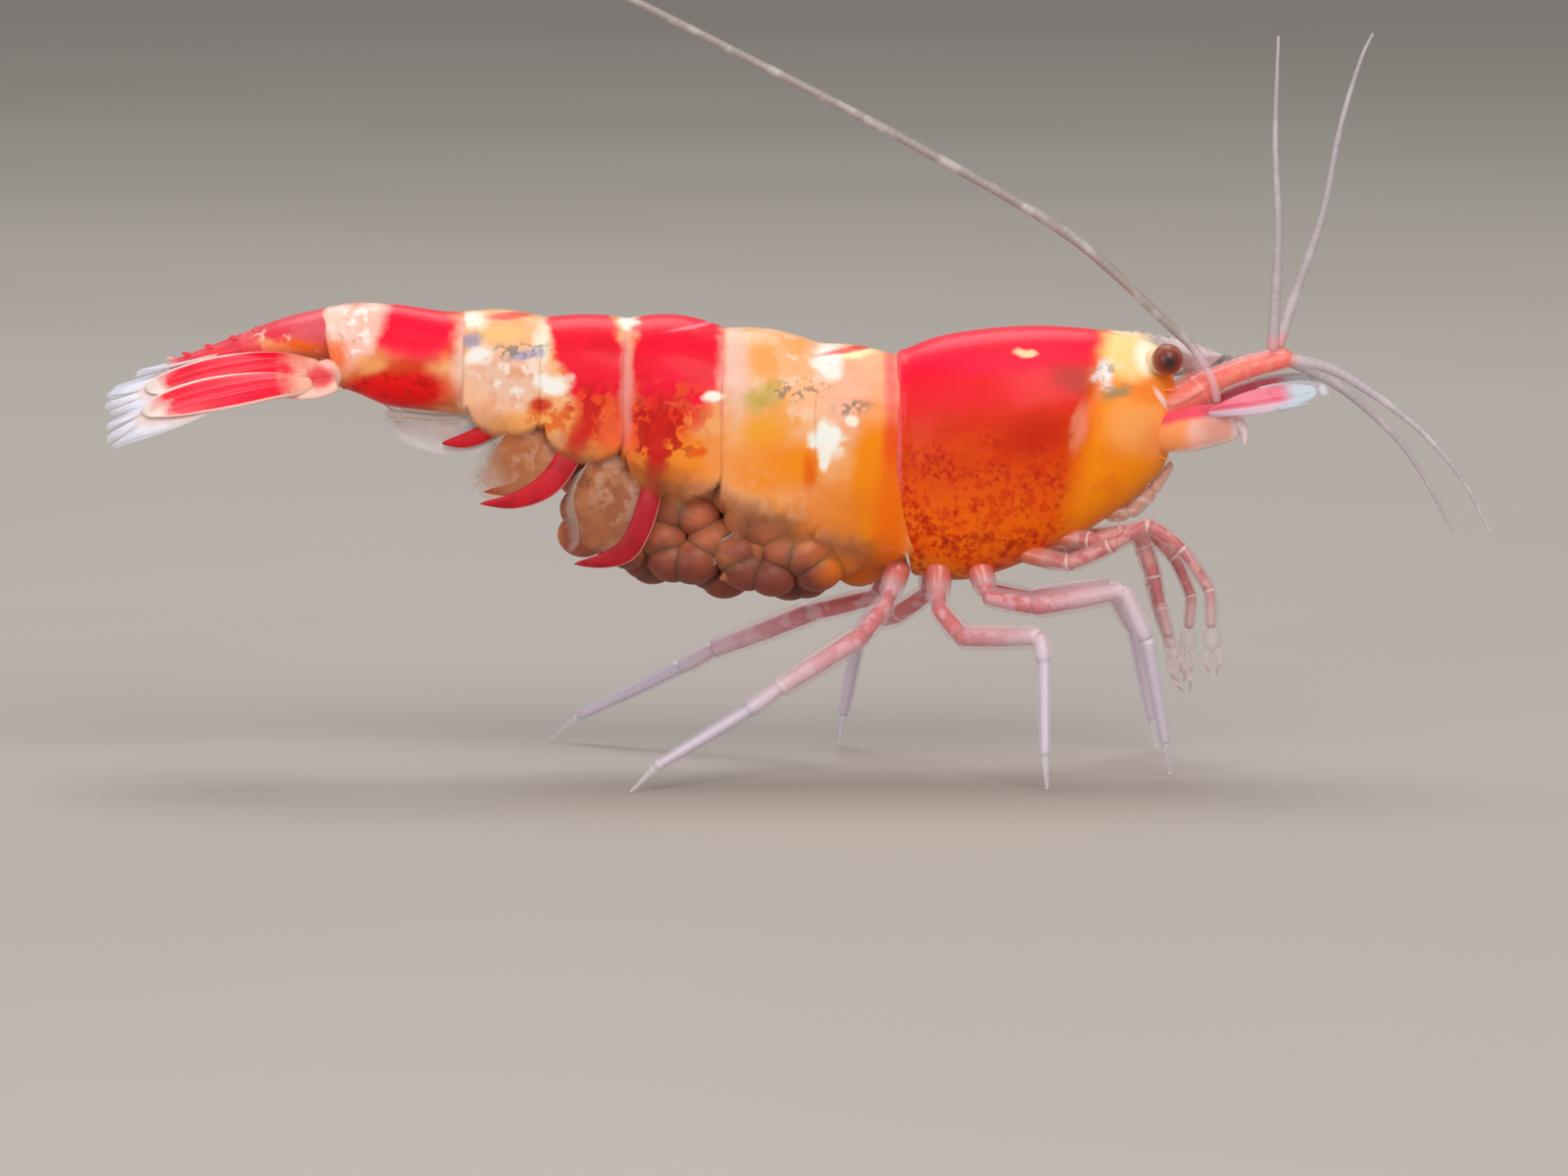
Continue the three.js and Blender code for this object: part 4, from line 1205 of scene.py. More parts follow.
@dataclass(frozen=True)
class PaddleFinish:
    """The clear hind blade of a swimmeret: brown-flecked near its root, with fine pale lines."""

    name: str
    flecks: str
    clear: str = "#c47c4e"
    alpha: tuple[float, float] = (0.82, 0.14)
    rim: float = 0.1

    def made(self, place: Ground) -> Material:
        """Mixes the material."""
        paint = Paint(self.name, self.clear, place, Roughness=0.35, Coat_Weight=0.2, Coat_Roughness=0.1)
        u, v = paint.chart("u"), paint.chart("v")
        near = paint.ramp(u, 1.0, 0.4)
        fleck = paint.times(paint.ramp(paint.noise(2.6, 6.0), 0.38, 0.56), near)
        paint.over(self.flecks, fleck, 0.85)
        paint.clouds("#e8c4b0", 5.0, 0.54, 0.6, 0.25, stretch=(0.5, 1, 0.5))
        rim = paint.off(v, 0.5)
        edge = paint.ramp(rim, 0.475, 0.492)
        paint.over("#f6e4dc", edge, 0.8)
        ragged = paint.shaken(rim, 2.0, 0.3)
        middle = paint.times(near, paint.ramp(ragged, 0.52, 0.34))
        solid = paint.most(middle, paint.times(edge, self.rim))
        paint.feed("Alpha", solid, self.alpha[1], self.alpha[0])
        return paint.material


@dataclass(frozen=True)
class EggFinish:
    """Brown eggs, orange-brown above and purplish below, each clearing to a paler cap."""

    name: str = "egg"

    def made(self, place: Ground) -> Material:
        """Mixes the material."""
        paint = Paint(
            self.name, "#ba6848", place, Roughness=0.5, Specular_IOR_Level=0.25, Coat_Weight=0.1,
            Coat_Roughness=0.25,
            Subsurface_Weight=0.6, Subsurface_Scale=0.8 * MM,
        )
        paint.clouds("#98523e", 0.9, 0.44, 0.6, 0.9)
        paint.clouds("#dc8c50", 1.4, 0.54, 0.68, 0.6, 4.0)
        paint.over("#783a30", paint.ramp(paint.axis("z", 0.3), 5.3, 4.5), 0.8)
        paint.over("#e07418", Mark("", -0.75, 4.8, 0.9, 0.9).mask(paint), 0.95)
        paint.over("#cf9078", paint.ramp(paint.chart("v"), 0.74, 0.95), 0.22)
        paint.over("#7a4028", paint.ramp(paint.cells(5.0, shake=0.1), 0.22, 0.08), 0.3)
        paint.relief(paint.noise(9, 3), 0.006)
        return paint.material


@dataclass(frozen=True)
class BristleFinish:
    """Fine bristles, from a tinted root to a pale tip."""

    name: str
    root: str
    tip: str
    alpha: float = 0.85

    def made(self, place: Ground) -> Material:
        """Mixes the material."""
        paint = Paint(self.name, self.root, place, Roughness=0.35, Alpha=self.alpha)
        length = paint.node("ShaderNodeAttribute", attribute_name="length").outputs["Fac"]
        paint.over(self.tip, paint.ramp(length, 0.05, 0.6))
        paint.clouds("#ffffff", 4.0, 0.5, 0.7, 0.3)
        return paint.material


# ---- Head --------------------------------------------------------------------------------------------
@dataclass(frozen=True)
class Eyes:
    """The two eyes on their short stalks."""

    x: float = 6.09
    y: float = 1.0
    z: float = 9.28
    radius: float = 0.348
    stalk_root: Point = (5.62, 0.3, 9.1)
    stalk_radius: Shares = (0.26, 0.26, 0.31, 0.33)
    bulge: float = 0.03

    def centre(self, side: Side) -> Vector:
        """The middle of one eye."""
        return Vector((self.x, side.value * self.y, self.z))

    def build(self, place: Ground) -> None:
        """Makes both eyes and stalks."""
        stalk_paint = Finish.STALK.made(place)
        for side in Side:
            centre = self.centre(side)
            eye = ball("eye", centre, self.radius, 5)
            out = Vector((0.25, side.value, 0.1)).normalized()

            def bulge(spot: np.ndarray) -> Vector:
                off = Vector(spot) - centre
                return centre + off * (1 + self.bulge * max(off.normalized().dot(out), 0.0))

            reshaped(eye, bulge)
            place.dress(f"eye_{side.label}", [eye], EyeFinish(self, side).made(place), "eye")
            x, y, z = self.stalk_root
            root = Vector((x, side.value * y, z))
            end = root.lerp(centre, 0.8)
            path = Path([root, root.lerp(end, 0.5) + Vector((0, 0, 0.02)), end])
            stalk = tube("stalk", path, spread(self.stalk_radius), 14, 24)
            place.dress(f"eyestalk_{side.label}", [stalk], stalk_paint, "head_shell")


@dataclass(frozen=True)
class HeadShell:
    """The carapace, with its orbit, grooves and spines, and the short toothed rostrum."""

    rear: float = 0.06
    front: float = 6.3
    slant: float = 0.35
    top: Keys = (
        (0, 9.31), (0.9, 9.68), (1.95, 9.87), (3.05, 9.95), (4.1, 9.91), (4.8, 9.82), (5.7, 9.62),
        (6.3, 9.3),
    )
    bottom: Keys = ((0, 4.4), (1.4, 4.25), (2.5, 4.5), (3.95, 5.15), (5.2, 5.95), (5.9, 6.6), (6.3, 7.05))
    half: Keys = ((0, 1.6), (1.5, 1.78), (3, 1.8), (4.5, 1.52), (5.5, 1.18), (6.3, 0.8))
    widest_at: float = 0.52
    rows: int = 120
    columns: int = 112
    socket: float = 0.44
    socket_rim: float = 0.035
    groove: float = 0.04
    gill_line: float = 0.018
    cheek: float = 0.05
    hem: float = 0.03
    teeth: float = 0.055
    under_teeth: float = 0.05
    rostrum_rows: int = 150
    eyes: Eyes = Eyes()

    def section(self, x: float, turn: float, full: float) -> Vector:
        """A point of the outer wall.

        Args:
            x: the place along the animal.
            turn: the angle from the back, in radians.
            full: the share out from the section's middle.

        Returns:
            The point.
        """
        high, low = through(self.top)(x), through(self.bottom)(x)
        level = mix(low, high, self.widest_at)
        rise = math.cos(turn)
        lower = rise < 0
        y = bowed(turn, BELLY_FULLNESS if lower else BACK_FULLNESS) * through(self.half)(x) * full
        z = level + rise * full * (level - low if lower else high - level)
        x += self.slant * min(max((6.8 - z) / 2.4, 0), 1) * min(max(1 - x / 2, 0), 1)
        return Vector((x, y, z))

    def carved(self, point: Vector) -> Vector:
        """Grooves, swellings and the cups that the eyes sit in."""
        middle = Vector((point.x, 0, 8.0))
        out = (point - middle).normalized()
        x, z = point.x, point.z
        groove = bell(x, 4.35 + 0.45 * (z - 8.4), 0.12) * smooth(7.2, 7.9, z) * smooth(9.6, 9.1, z)
        gill = bell(z, 6.9 + 0.1 * (x - 3), 0.13) * smooth(0.6, 1.5, x) * smooth(4.6, 3.8, x)
        hem = bell(x, 0.16 + self.slant * smooth(6.8, 4.4, z), 0.08)
        cheek = bell(x, 5.3, 0.6) * bell(z, 7.8, 0.6)
        raised = self.cheek * cheek + self.hem * hem - self.groove * groove - self.gill_line * gill
        point = point + out * raised
        for side in Side:
            centre = self.eyes.centre(side)
            off = point - centre
            reach = off.length
            if reach < self.socket:
                inward = Vector((-0.55, -side.value * 0.8, -0.15)).normalized()
                push = inward * (1.2 * (1 - reach / self.socket))
                off = (off.normalized() + push).normalized() * self.socket
                point = centre + off
            elif reach < self.socket + 0.2:
                rim = math.sin(math.pi * (reach - self.socket) / 0.2)
                point = point + out * self.socket_rim * rim
        return point

    def shell(self) -> Piece:
        """The shell, closed round its front and turned in at its rear edge."""
        turned_in = ((0.5, 0.0), (0.5, 0.86), (0.12, 0.925), (0.02, 0.955), (-0.01, 0.975), (0.01, 0.992))
        lip = [(self.rear + off, full) for off, full in turned_in]
        start, end = self.rear + 0.05, self.front - 0.35
        body = [(mix(start, end, k / self.rows), 1.0) for k in range(self.rows)]
        nose = [(end + 0.35 * math.sin(a), math.cos(a) ** 0.8) for a in rounding(12)] + [(self.front, 0.0)]

        def place(x: float, full: float, turn: float) -> Vector:
            point = self.section(x, turn, full)
            return self.carved(point) if full > 0.98 or x > end else point

        return rolled("shell", lip + body + nose, self.columns, place)

    def rostrum(self) -> Piece:
        """The short blade between the eyes, with fine teeth above and below."""
        root, tip = 4.6, 7.34
        upper = through([(root, 9.86), (5.0, 9.84), (5.7, 9.76), (6.5, 9.6), (7.0, 9.44), (tip, 9.3)])
        lower = through([(root, 9.3), (5.7, 9.14), (6.4, 9.02), (6.85, 9.0), (7.1, 9.1), (tip, 9.26)])
        rows = self.rostrum_rows
        stations = [(mix(root, tip, k / rows), float(0 < k < rows)) for k in range(rows + 1)]

        def place(x: float, full: float, turn: float) -> Vector:
            rise = math.cos(turn)
            high, low = upper(x), lower(x)
            if not full:
                return Vector((x, 0, (high + low) / 2))
            before_tip = smooth(7.3, 7.1, x)
            tooth, fang = 1 - ((x - 5.1) / 0.27) % 1, 1 - ((x - 6.5) / 0.25) % 1
            teeth = self.teeth * tooth**1.6 * smooth(5.1, 5.35, x) * before_tip * smooth(0.75, 1.0, rise)
            under = self.under_teeth * fang * smooth(6.45, 6.6, x) * before_tip * smooth(-0.75, -1.0, rise)
            thick = 0.13 * smooth(tip + 0.05, 6.3, x) + 0.02
            z = (high + low) / 2 + rise * (high - low) / 2 + teeth - under
            return Vector((x, math.sin(turn) * thick * (0.35 + 0.65 * (1 - abs(rise))), z))

        return rolled("rostrum", stations, 28, place)

    def spines(self) -> list[Piece]:
        """The spine below each eye and the corner spine at each lower front edge."""
        made = []
        for side in Side:
            for points, size in (
                ([(5.95, -0.8, 8.6), (6.15, -0.86, 8.58), (6.32, -0.87, 8.6)], 0.045),
                ([(5.85, -0.68, 7.1), (6.05, -0.76, 7.03), (6.2, -0.78, 7.03)], 0.04),
            ):
                path = Path(side.points(points))
                made.append(tube("spine", path, spread([size, size * 0.6, size * 0.12]), 8, 10))
        return made

    def build(self, place: Ground) -> None:
        """Makes the head shell and its rostrum."""
        pieces = [self.shell(), *self.spines()]
        place.dress("carapace", pieces, Finish.CARAPACE.made(place), "head_shell")
        clear = Paint("rostrum", "#d3c4ca", place, Roughness=0.3, Coat_Weight=0.3, Coat_Roughness=0.08)
        clear.over("#fbdcb0", clear.ramp(clear.axis("x", 0.14), 6.0, 5.4))
        clear.over("#fb3a50", clear.ramp(clear.axis("x", 0.14), 4.95, 4.7))
        clear.clouds("#f1ebee", 3.5, 0.5, 0.66, 0.5)
        clear.feed("Alpha", clear.ramp(clear.axis("x"), 5.6, 6.6), 1.0, 0.82)
        place.settle(self.rostrum(), clear.material, "head_shell")


@dataclass(frozen=True)
class FeelerBases:
    """Antennule stems, antenna bases and the scales beside them."""

    stem: Line = (
        (5.8, -0.5, 8.1), (6.5, -0.48, 8.32), (7.1, -0.38, 8.68), (7.95, -0.36, 9.02),
        (8.95, -0.38, 9.27),
    )
    stem_radius: Keys = (
        (0, 0.38), (0.2, 0.42), (0.38, 0.4), (0.47, 0.29), (0.6, 0.27), (0.8, 0.26), (1, 0.19)
    )
    base: Line = ((5.7, -0.5, 7.56), (6.25, -0.86, 7.64), (7.0, -1.08, 7.8), (7.68, -1.18, 7.92))
    base_height: Shares = (0.34, 0.44, 0.5, 0.47, 0.39)
    base_depth: Shares = (0.2, 0.28, 0.3, 0.24, 0.16)
    carrier: Line = ((6.75, -1.0, 7.75), (7.1, -0.98, 7.98), (7.25, -0.96, 8.25))
    scale: Line = (
        (7.0, -1.2, 8.08), (7.5, -1.34, 8.24), (8.0, -1.42, 8.36), (8.7, -1.48, 8.5), (9.42, -1.5, 8.62)
    )
    scale_width: Shares = (0.1, 0.26, 0.38, 0.43, 0.41, 0.34, 0.16)
    pinch: float = 0.1
    collar: float = 0.05
    hairs: int = 80

    def ringed(self, share: float) -> float:
        """The stem's radius, pinched at its two joints."""
        pinch = bell(share, 0.44, 0.02) + bell(share, 0.76, 0.02)
        collar = bell(share, 0.415, 0.02) + bell(share, 0.735, 0.02)
        return through(self.stem_radius)(share) * (1 - self.pinch * pinch + self.collar * collar)

    def build(self, place: Ground) -> None:
        """Makes both sides."""
        clear = ClearFinish("feeler stem cuticle", "#ffb4a0", "#f46a58", 3, 0.38, "#ffa8a4", 0.1).made(place)
        core = CoreFinish("feeler stem pigment", "#ff4a1c", "#ff8456", (1.2, 1.6), whiteness=0.0).made(place)
        salmon = ShellFinish(
            "feeler base",
            "#fbb0a0",
            (
                Mottle("#fcc8b4", 2.4, None, 0.48, 0.62, 0.6),
                Wash("#ff9c54", "x", 6.75, 6.3, 0.2, 7.5, 0.9),
                Wash("#f4506c", "z", 7.98, 8.14, 0.22, 7.0, 0.95, 0.08),
                Wash("#fde6ea", "x", 7.4, 7.64, 0, 8, 0.9, 0.08),
                Wash("#fde8de", "z", 7.45, 7.36, 0.24, 7.0, 0.8, 0.04),
            ),
            soft=0.25,
            thins=(Wash("", "x", 6.6, 7.2),),
            thinnest=0.7,
        ).made(place)
        scale_paint = BladeFinish(
            "antenna scale", "#ee7088", "#e64a6a", "#ee5a70", "#dccbdc", "#ccd8e6", (0.62, 0.84), 0.05,
            0.36, 0.75, 0.85
        ).made(place)
        tuft = BristleFinish("scale bristles", "#d8c2c8", "#e6e8f2").made(place)
        for side in Side:
            path = Path(side.points(self.stem), 0.4)
            outer = tube("stem", path, self.ringed, 60, 24)
            line = Path(side.points([(6.1, -0.86, 8.25), (6.5, -0.92, 8.42), (6.95, -0.86, 8.62)]))
            spike = tube("spike", line, spread([0.1, 0.09, 0.015]), 14, 10)
            place.dress(f"antennule_{side.label}", [outer, spike], clear, "feeler_base")
            inner = tube(f"antennule_core_{side.label}", path, lambda s: 0.78 * self.ringed(s), 40, 16)
            place.settle(inner, core, "feeler_base")

            line, high, deep = Path(side.points(self.base)), spread(self.base_height), spread(self.base_depth)
            foot = blade("foot", line, (0, 0, 1), high, deep, 30, 32)
            post = tube("post", Path(side.points(self.carrier)), spread([0.26, 0.22, 0.15]), 16, 20)
            line = Path(side.points([(7.6, -1.2, 7.95), (7.8, -1.26, 7.7), (7.8, -1.3, 7.38)]))
            tooth = tube("tooth", line, spread([0.14, 0.1, 0.02]), 12, 12)
            place.dress(f"antenna_base_{side.label}", [foot, post, tooth], salmon, "feeler_base")
            self.scales(side, place, scale_paint, tuft)

    def scales(self, side: Side, place: Ground, paint: Material, tuft: Material) -> None:
        """One antenna scale with its outer spine and fringe.

        Args:
            side: which side it is on.
            place: where the animal's measures lie.
            paint: the scale's material.
            tuft: its fringe's material.
        """
        path = Path(side.points(self.scale))
        wide = (0, -side.value * 0.82, 0.57)
        width = spread(self.scale_width)
        made = blade(
            "scale", path, wide, width, spread([0.12, 0.09, 0.07, 0.05, 0.03]), 40, 40,
            lambda share, off: 0.03 * (bell(off, -0.8, 0.12) + bell(off, -0.2, 0.1)),
        )
        line = Path(side.points([(8.5, -1.82, 8.24), (8.9, -1.8, 8.3), (9.2, -1.76, 8.36)]))
        spine = tube("spine", line, spread([0.06, 0.045, 0.012]), 10, 10, span=(0.9, 1))
        place.dress(f"antenna_scale_{side.label}", [made, spine], paint, "tail_fin")
        hairs = []
        for k in range(self.hairs):
            t = k / (self.hairs - 1)
            share = mix(0.45, 1.0, min(t * 1.5, 1.0))
            off = 1.0 if t < 0.6 else mix(1.0, -0.7, (t - 0.6) / 0.4)
            point, tangent, across = path.crossed(min(share, 0.985), wide)
            root = point + across * off * width(share) * (0.96 if share < 0.93 else 0.8)
            way = tangent * 0.8 + across * (0.55 * off)
            hairs.append(Hair(root, root + way.normalized() * mix(0.16, 0.3, t), 0.012))
        place.settle(bristles(f"scale_fringe_{side.label}", hairs), tuft, "tail_fin")


@dataclass(frozen=True)
class Feelers:
    """The long feelers: two to each antennule and one antenna to each side."""

    antennules: tuple[tuple[str, Line], ...] = (
        (
            "antennule_outer_right",
            ((8.45, -0.5, 9.4), (8.47, -0.56, 9.7), (8.5, -0.62, 10.4), (8.56, -0.8, 12.2),
             (8.47, -1.0, 14.2), (8.52, -1.2, 16.5)),
        ),
        (
            "antennule_outer_left",
            ((8.62, 0.46, 9.4), (8.7, 0.5, 9.7), (9.0, 0.6, 10.6), (9.62, 0.75, 12.4), (10.0, 0.85, 14.3),
             (10.45, 1.0, 15.8), (10.75, 1.1, 16.45)),
        ),
        (
            "antennule_inner_right",
            ((8.72, -0.37, 9.24), (9.7, -0.5, 9.05), (10.6, -0.62, 8.55), (11.55, -0.75, 7.85),
             (12.25, -0.85, 7.15), (12.8, -0.92, 6.4), (13.35, -1.0, 5.35)),
        ),
        (
            "antennule_inner_left",
            ((8.72, 0.37, 9.22), (9.9, 0.5, 8.62), (10.75, 0.62, 7.92), (11.4, 0.75, 7.25),
             (11.85, 0.82, 6.6), (12.25, 0.88, 5.9), (12.6, 0.92, 5.2)),
        ),
    )
    antennae: tuple[tuple[str, Line], ...] = (
        (
            "antenna_right",
            ((7.22, -0.97, 8.3), (7.08, -0.96, 8.85), (6.66, -0.62, 9.52), (6.15, -0.59, 10.0),
             (3.94, -0.75, 12.0), (0.7, -0.95, 13.92), (-2.95, -1.2, 15.85), (-7.2, -1.55, 17.95),
             (-11.2, -2.0, 19.4), (-15.2, -2.4, 20.2)),
        ),
        (
            "antenna_left",
            ((7.22, 0.97, 8.3), (7.45, 1.2, 8.88), (7.55, 1.9, 9.05), (7.2, 2.8, 8.85), (5.8, 3.7, 8.55),
             (2.4, 4.5, 8.35), (-2.5, 4.65, 8.25), (-7.5, 4.15, 8.55), (-11.8, 3.4, 8.9), (-15.6, 2.6, 9.0)),
        ),
    )
    outer_radius: Shares = (0.15, 0.11, 0.08, 0.06, 0.035)
    inner_radius: Shares = (0.15, 0.12, 0.08, 0.055, 0.03)
    antenna_radius: Shares = (0.1, 0.12, 0.11, 0.1, 0.085, 0.07, 0.04)
    ring: float = 0.17
    swelling: float = 0.02
    faces: int = 5

    def whip(self, name: str, points: Sequence[Point], radii: Sequence[float]) -> tuple[Piece, float]:
        """One feeler, swelling a little at every ring.

        Args:
            name: the piece's name.
            points: its line.
            radii: its radius from root to tip.

        Returns:
            The piece and its number of rings.
        """
        path = Path(points, 0.5)
        rings = round(path.length / self.ring)
        size = spread(radii)

        def radius(share: float) -> float:
            return size(share) * (1 + self.swelling * math.sin(2 * math.pi * rings * share))

        return tube(name, path, radius, rings * self.faces, 10), float(rings)

    def build(self, place: Ground) -> None:
        """Makes all six feelers."""
        for name, points in self.antennules:
            radii = self.outer_radius if "outer" in name else self.inner_radius
            made, rings = self.whip(name, points, radii)
            paint = FeelerFinish(
                name.replace("_", " "), "#c8bec6", "#eeb0b4", rings, 0.07, 0.7, 0.7
            ).made(place)
            place.dress(name, [made], paint, "feeler")
        for name, points in self.antennae:
            made, rings = self.whip(name, points, self.antenna_radius)
            paint = FeelerFinish(
                name.replace("_", " "), "#a89e9a", "#eacad6", rings, 0.07, 0.9, 0.28
            ).made(place)
            place.dress(name, [made], paint, "feeler")


# ---- Abdomen -----------------------------------------------------------------------------------------
@dataclass(frozen=True)
class Ring:
    """One ring of the abdomen: where its joints are, and how far its side plates hang."""

    name: str
    front: float
    rear: float
    hump: float
    plate: float
    corner: float
    flesh: float
    flare: float = 0.0
    reach: float = 0.0
    slot: str = "cream_shell"


@dataclass(frozen=True)
class Abdomen:
    """Five overlapping rings over the flesh of the tail, in front of the long sixth."""

    rings: tuple[Ring, ...] = (
        Ring("abdomen_1", 0, -1.65, 0.08, 4.55, 5.1, 7.1, 0.04, 0.5),
        Ring("abdomen_2", -1.65, -3.75, 0.13, 5.0, 6.1, 7.1, 0.2),
        Ring("abdomen_3", -3.75, -5.95, 0.17, 6.1, 7.05, 7.3, 0.03, slot="red_shell"),
        Ring("abdomen_4", -5.95, -7.8, 0.07, 6.95, 7.75, 7.6, 0.03, slot="red_shell"),
        Ring("abdomen_5", -7.8, -9.5, 0.1, 7.5, 8.2, 7.85),
    )
    girth: Keys = (
        (0.9, 1.5), (0, 1.57), (-0.8, 1.61), (-2.7, 1.64), (-4.8, 1.55), (-6.9, 1.38), (-8.6, 1.24),
        (-9.5, 1.15), (-9.9, 1.1),
    )
    joints: Keys = ((0, 9.31), (-1.65, 9.56), (-3.75, 9.9), (-5.95, 10.12), (-7.8, 10.15), (-9.5, 10.28))
    shoulder: Keys = (
        (0, 7.25), (-0.8, 7.35), (-2.7, 7.8), (-4.8, 8.25), (-6.9, 8.65), (-8.6, 8.95), (-9.9, 9.15)
    )
    foot: Keys = ((0.6, 0.7), (0, 0.74), (-1.2, 0.88), (-2.7, 0.95), (-9.9, 0.92))
    depth: float = 2.4
    tuck: float = 0.3
    lap: float = 0.16
    wall: float = 0.03
    hem: float = 0.012
    rows: int = 44
    columns: int = 90

    def outline(self, ring: Ring) -> Callable[[float, float], Vector]:
        """The outer face of a ring.

        Args:
            ring: the ring.

        Returns:
            The point for a share from front to rear and a share over the back.
        """
        length = ring.front - ring.rear
        back, girth = through(self.joints), through(self.girth)
        shoulder, foot = through(self.shoulder), through(self.foot)
        start, end = -self.tuck / length, 1 + self.lap / length

        def place(along: float, over: float) -> Vector:
            share = mix(start, end, along)
            inside = min(max(share, 0.0), 1.0)
            x = ring.front - share * length
            under = 0.03 * (1 - smooth(start, 0.0, share))
            lift = 0.006 * smooth(0.8, 1.0, share) - under
            top = back(max(min(x, 0), -9.5)) + ring.hump * math.sin(math.pi * inside) + lift
            bottom = mix(ring.corner, ring.plate, math.sqrt(max(1 - (2 * inside - 1) ** 2, 0.0)))
            half = girth(x) + lift + 0.02 * math.sin(math.pi * inside)
            level = shoulder(x)
            if 0.3 <= over <= 0.7:
                turn = -math.pi / 2 + math.pi * (over - 0.3) / 0.4
                return Vector((x, half * math.sin(turn), level + (top - level) * math.cos(turn)))
            down = (0.3 - over) / 0.3 if over < 0.3 else (over - 0.7) / 0.3
            sign = -1 if over < 0.3 else 1
            deep = down * (level - bottom) / self.depth
            y = half * (1 - (1 - foot(x)) * deep**2 + 0.02 * math.sin(math.pi * min(deep, 1.0)))
            middle = (ring.front + ring.rear) / 2
            within = smooth(0.0, 0.12, share) * smooth(1.02, 0.9, share)
            x += (x - middle) * ring.flare * smooth(0.0, 0.8, down) * within
            x += ring.reach * smooth(0.0, 0.7, down) * smooth(0.5, 0.0, share)
            return Vector((x, sign * y, level - down * (level - bottom)))

        return place

    def plate(self, ring: Ring) -> Piece:
        """One ring as a thin shell plate with a rounded hem."""
        piece = grid(ring.name, self.rows, self.columns, self.outline(ring))
        with editing():
            bpy.ops.mesh.select_all(action="SELECT")
            bpy.ops.mesh.normals_make_consistent(inside=False)
        middle = Vector(((ring.front + ring.rear) / 2, 0, 8.2))
        back = max(piece.data.polygons, key=lambda face: face.center.z)
        if back.normal.dot(back.center - middle) < 0:
            with editing():
                bpy.ops.mesh.flip_normals()
        wall = piece.modifiers.new("wall", "SOLIDIFY")
        wall.thickness = self.wall
        wall.offset = -1
        bpy.ops.object.modifier_apply(modifier=wall.name)
        hem = piece.modifiers.new("hem", "BEVEL")
        hem.width = self.hem
        hem.segments = 2
        hem.angle_limit = math.radians(60)
        bpy.ops.object.modifier_apply(modifier=hem.name)
        return piece

    def flesh(self) -> Piece:
        """The flesh under the rings, seen below and between them."""
        low_points = [((ring.front + ring.rear) / 2, ring.flesh) for ring in self.rings]
        floor = through([(0.9, 6.6), (-0.4, 6.9), *low_points, (-9.9, 8.3)])
        back, girth = through(self.joints), through(self.girth)

        def place(share: float, full: float, turn: float) -> Vector:
            x = mix(0.6, -9.8, share)
            high, low = back(min(x, 0)) - 0.16, floor(x) - 0.1 * abs(math.sin(math.pi * (x + 0.3) / 1.9))
            y = bowed(turn, 0.8) * (girth(x) - 0.14) * full
            return Vector((x, y, (high + low) / 2 + math.cos(turn) * full * (high - low) / 2))

        return rolled("belly_flesh", capped(70, 0.04, 0.03, 6), 40, place)

    def build(self, place: Ground) -> None:
        """Makes the flesh and the five rings."""
        paint = Finish.RINGS.made(place)
        place.settle(self.flesh(), paint, "cream_shell")
        for ring in self.rings:
            place.dress(ring.name, [self.plate(ring)], paint, ring.slot)


@dataclass(frozen=True)
class LastRing:
    """The long sixth ring that carries the tail fan."""

    front: float = -9.2
    rear: float = -12.78
    slant: float = 0.4
    top: Keys = (
        (-12.78, 10.32), (-12.2, 10.46), (-11.1, 10.42), (-10.1, 10.28), (-9.5, 10.26), (-9.2, 10.16)
    )
    bottom: Keys = ((-12.78, 8.6), (-12.2, 8.42), (-11.4, 8.18), (-10.1, 8.02), (-9.5, 7.95), (-9.2, 8.0))
    half: Keys = ((-12.78, 0.72), (-11, 0.97), (-9.6, 1.13), (-9.2, 1.06))

    def build(self, place: Ground) -> None:
        """Makes the ring."""
        turned_in = ((0.35, 0.0), (0.35, 0.78), (0.08, 0.86), (-0.01, 0.93), (-0.02, 0.97), (0.01, 0.995))
        rear = [(self.rear + off, full) for off, full in turned_in]
        body = [(mix(self.rear + 0.05, self.front - 0.15, k / 64), 1.0) for k in range(65)]
        nose = [(self.front - 0.15 * (1 - math.sin(a)), math.cos(a)) for a in (0.4, 0.8, 1.2)]
        nose.append((self.front, 0.0))
        top, bottom, half = through(self.top), through(self.bottom), through(self.half)

        def spot(x: float, full: float, turn: float) -> Vector:
            high, low = top(x), bottom(x)
            rise = math.cos(turn)
            y = bowed(turn, BELLY_FULLNESS if rise < 0 else BACK_FULLNESS) * half(x) * full
            z = (high + low) / 2 + rise * full * (high - low) / 2
            hem = 0.03 * bell(x, self.rear + 0.12, 0.08) * full
            near = min(max(1 - (x - self.rear) / 1.5, 0), 1)
            x += self.slant * min(max((10.2 - z) / 1.8, 0), 1) * near
            return Vector((x, y * (1 + hem), z + hem * rise))

        made = rolled("ring", rear + body + nose, 64, spot)
        place.dress("abdomen_6", [made], Finish.LAST_RING.made(place), "red_shell")


# ---- Tail fan ----------------------------------------------------------------------------------------
@dataclass(frozen=True)
class Fin:
    """One blade of the tail fan, given for the right side."""

    name: str
    spine: Line
    width: Shares
    across: Point
    way: Point


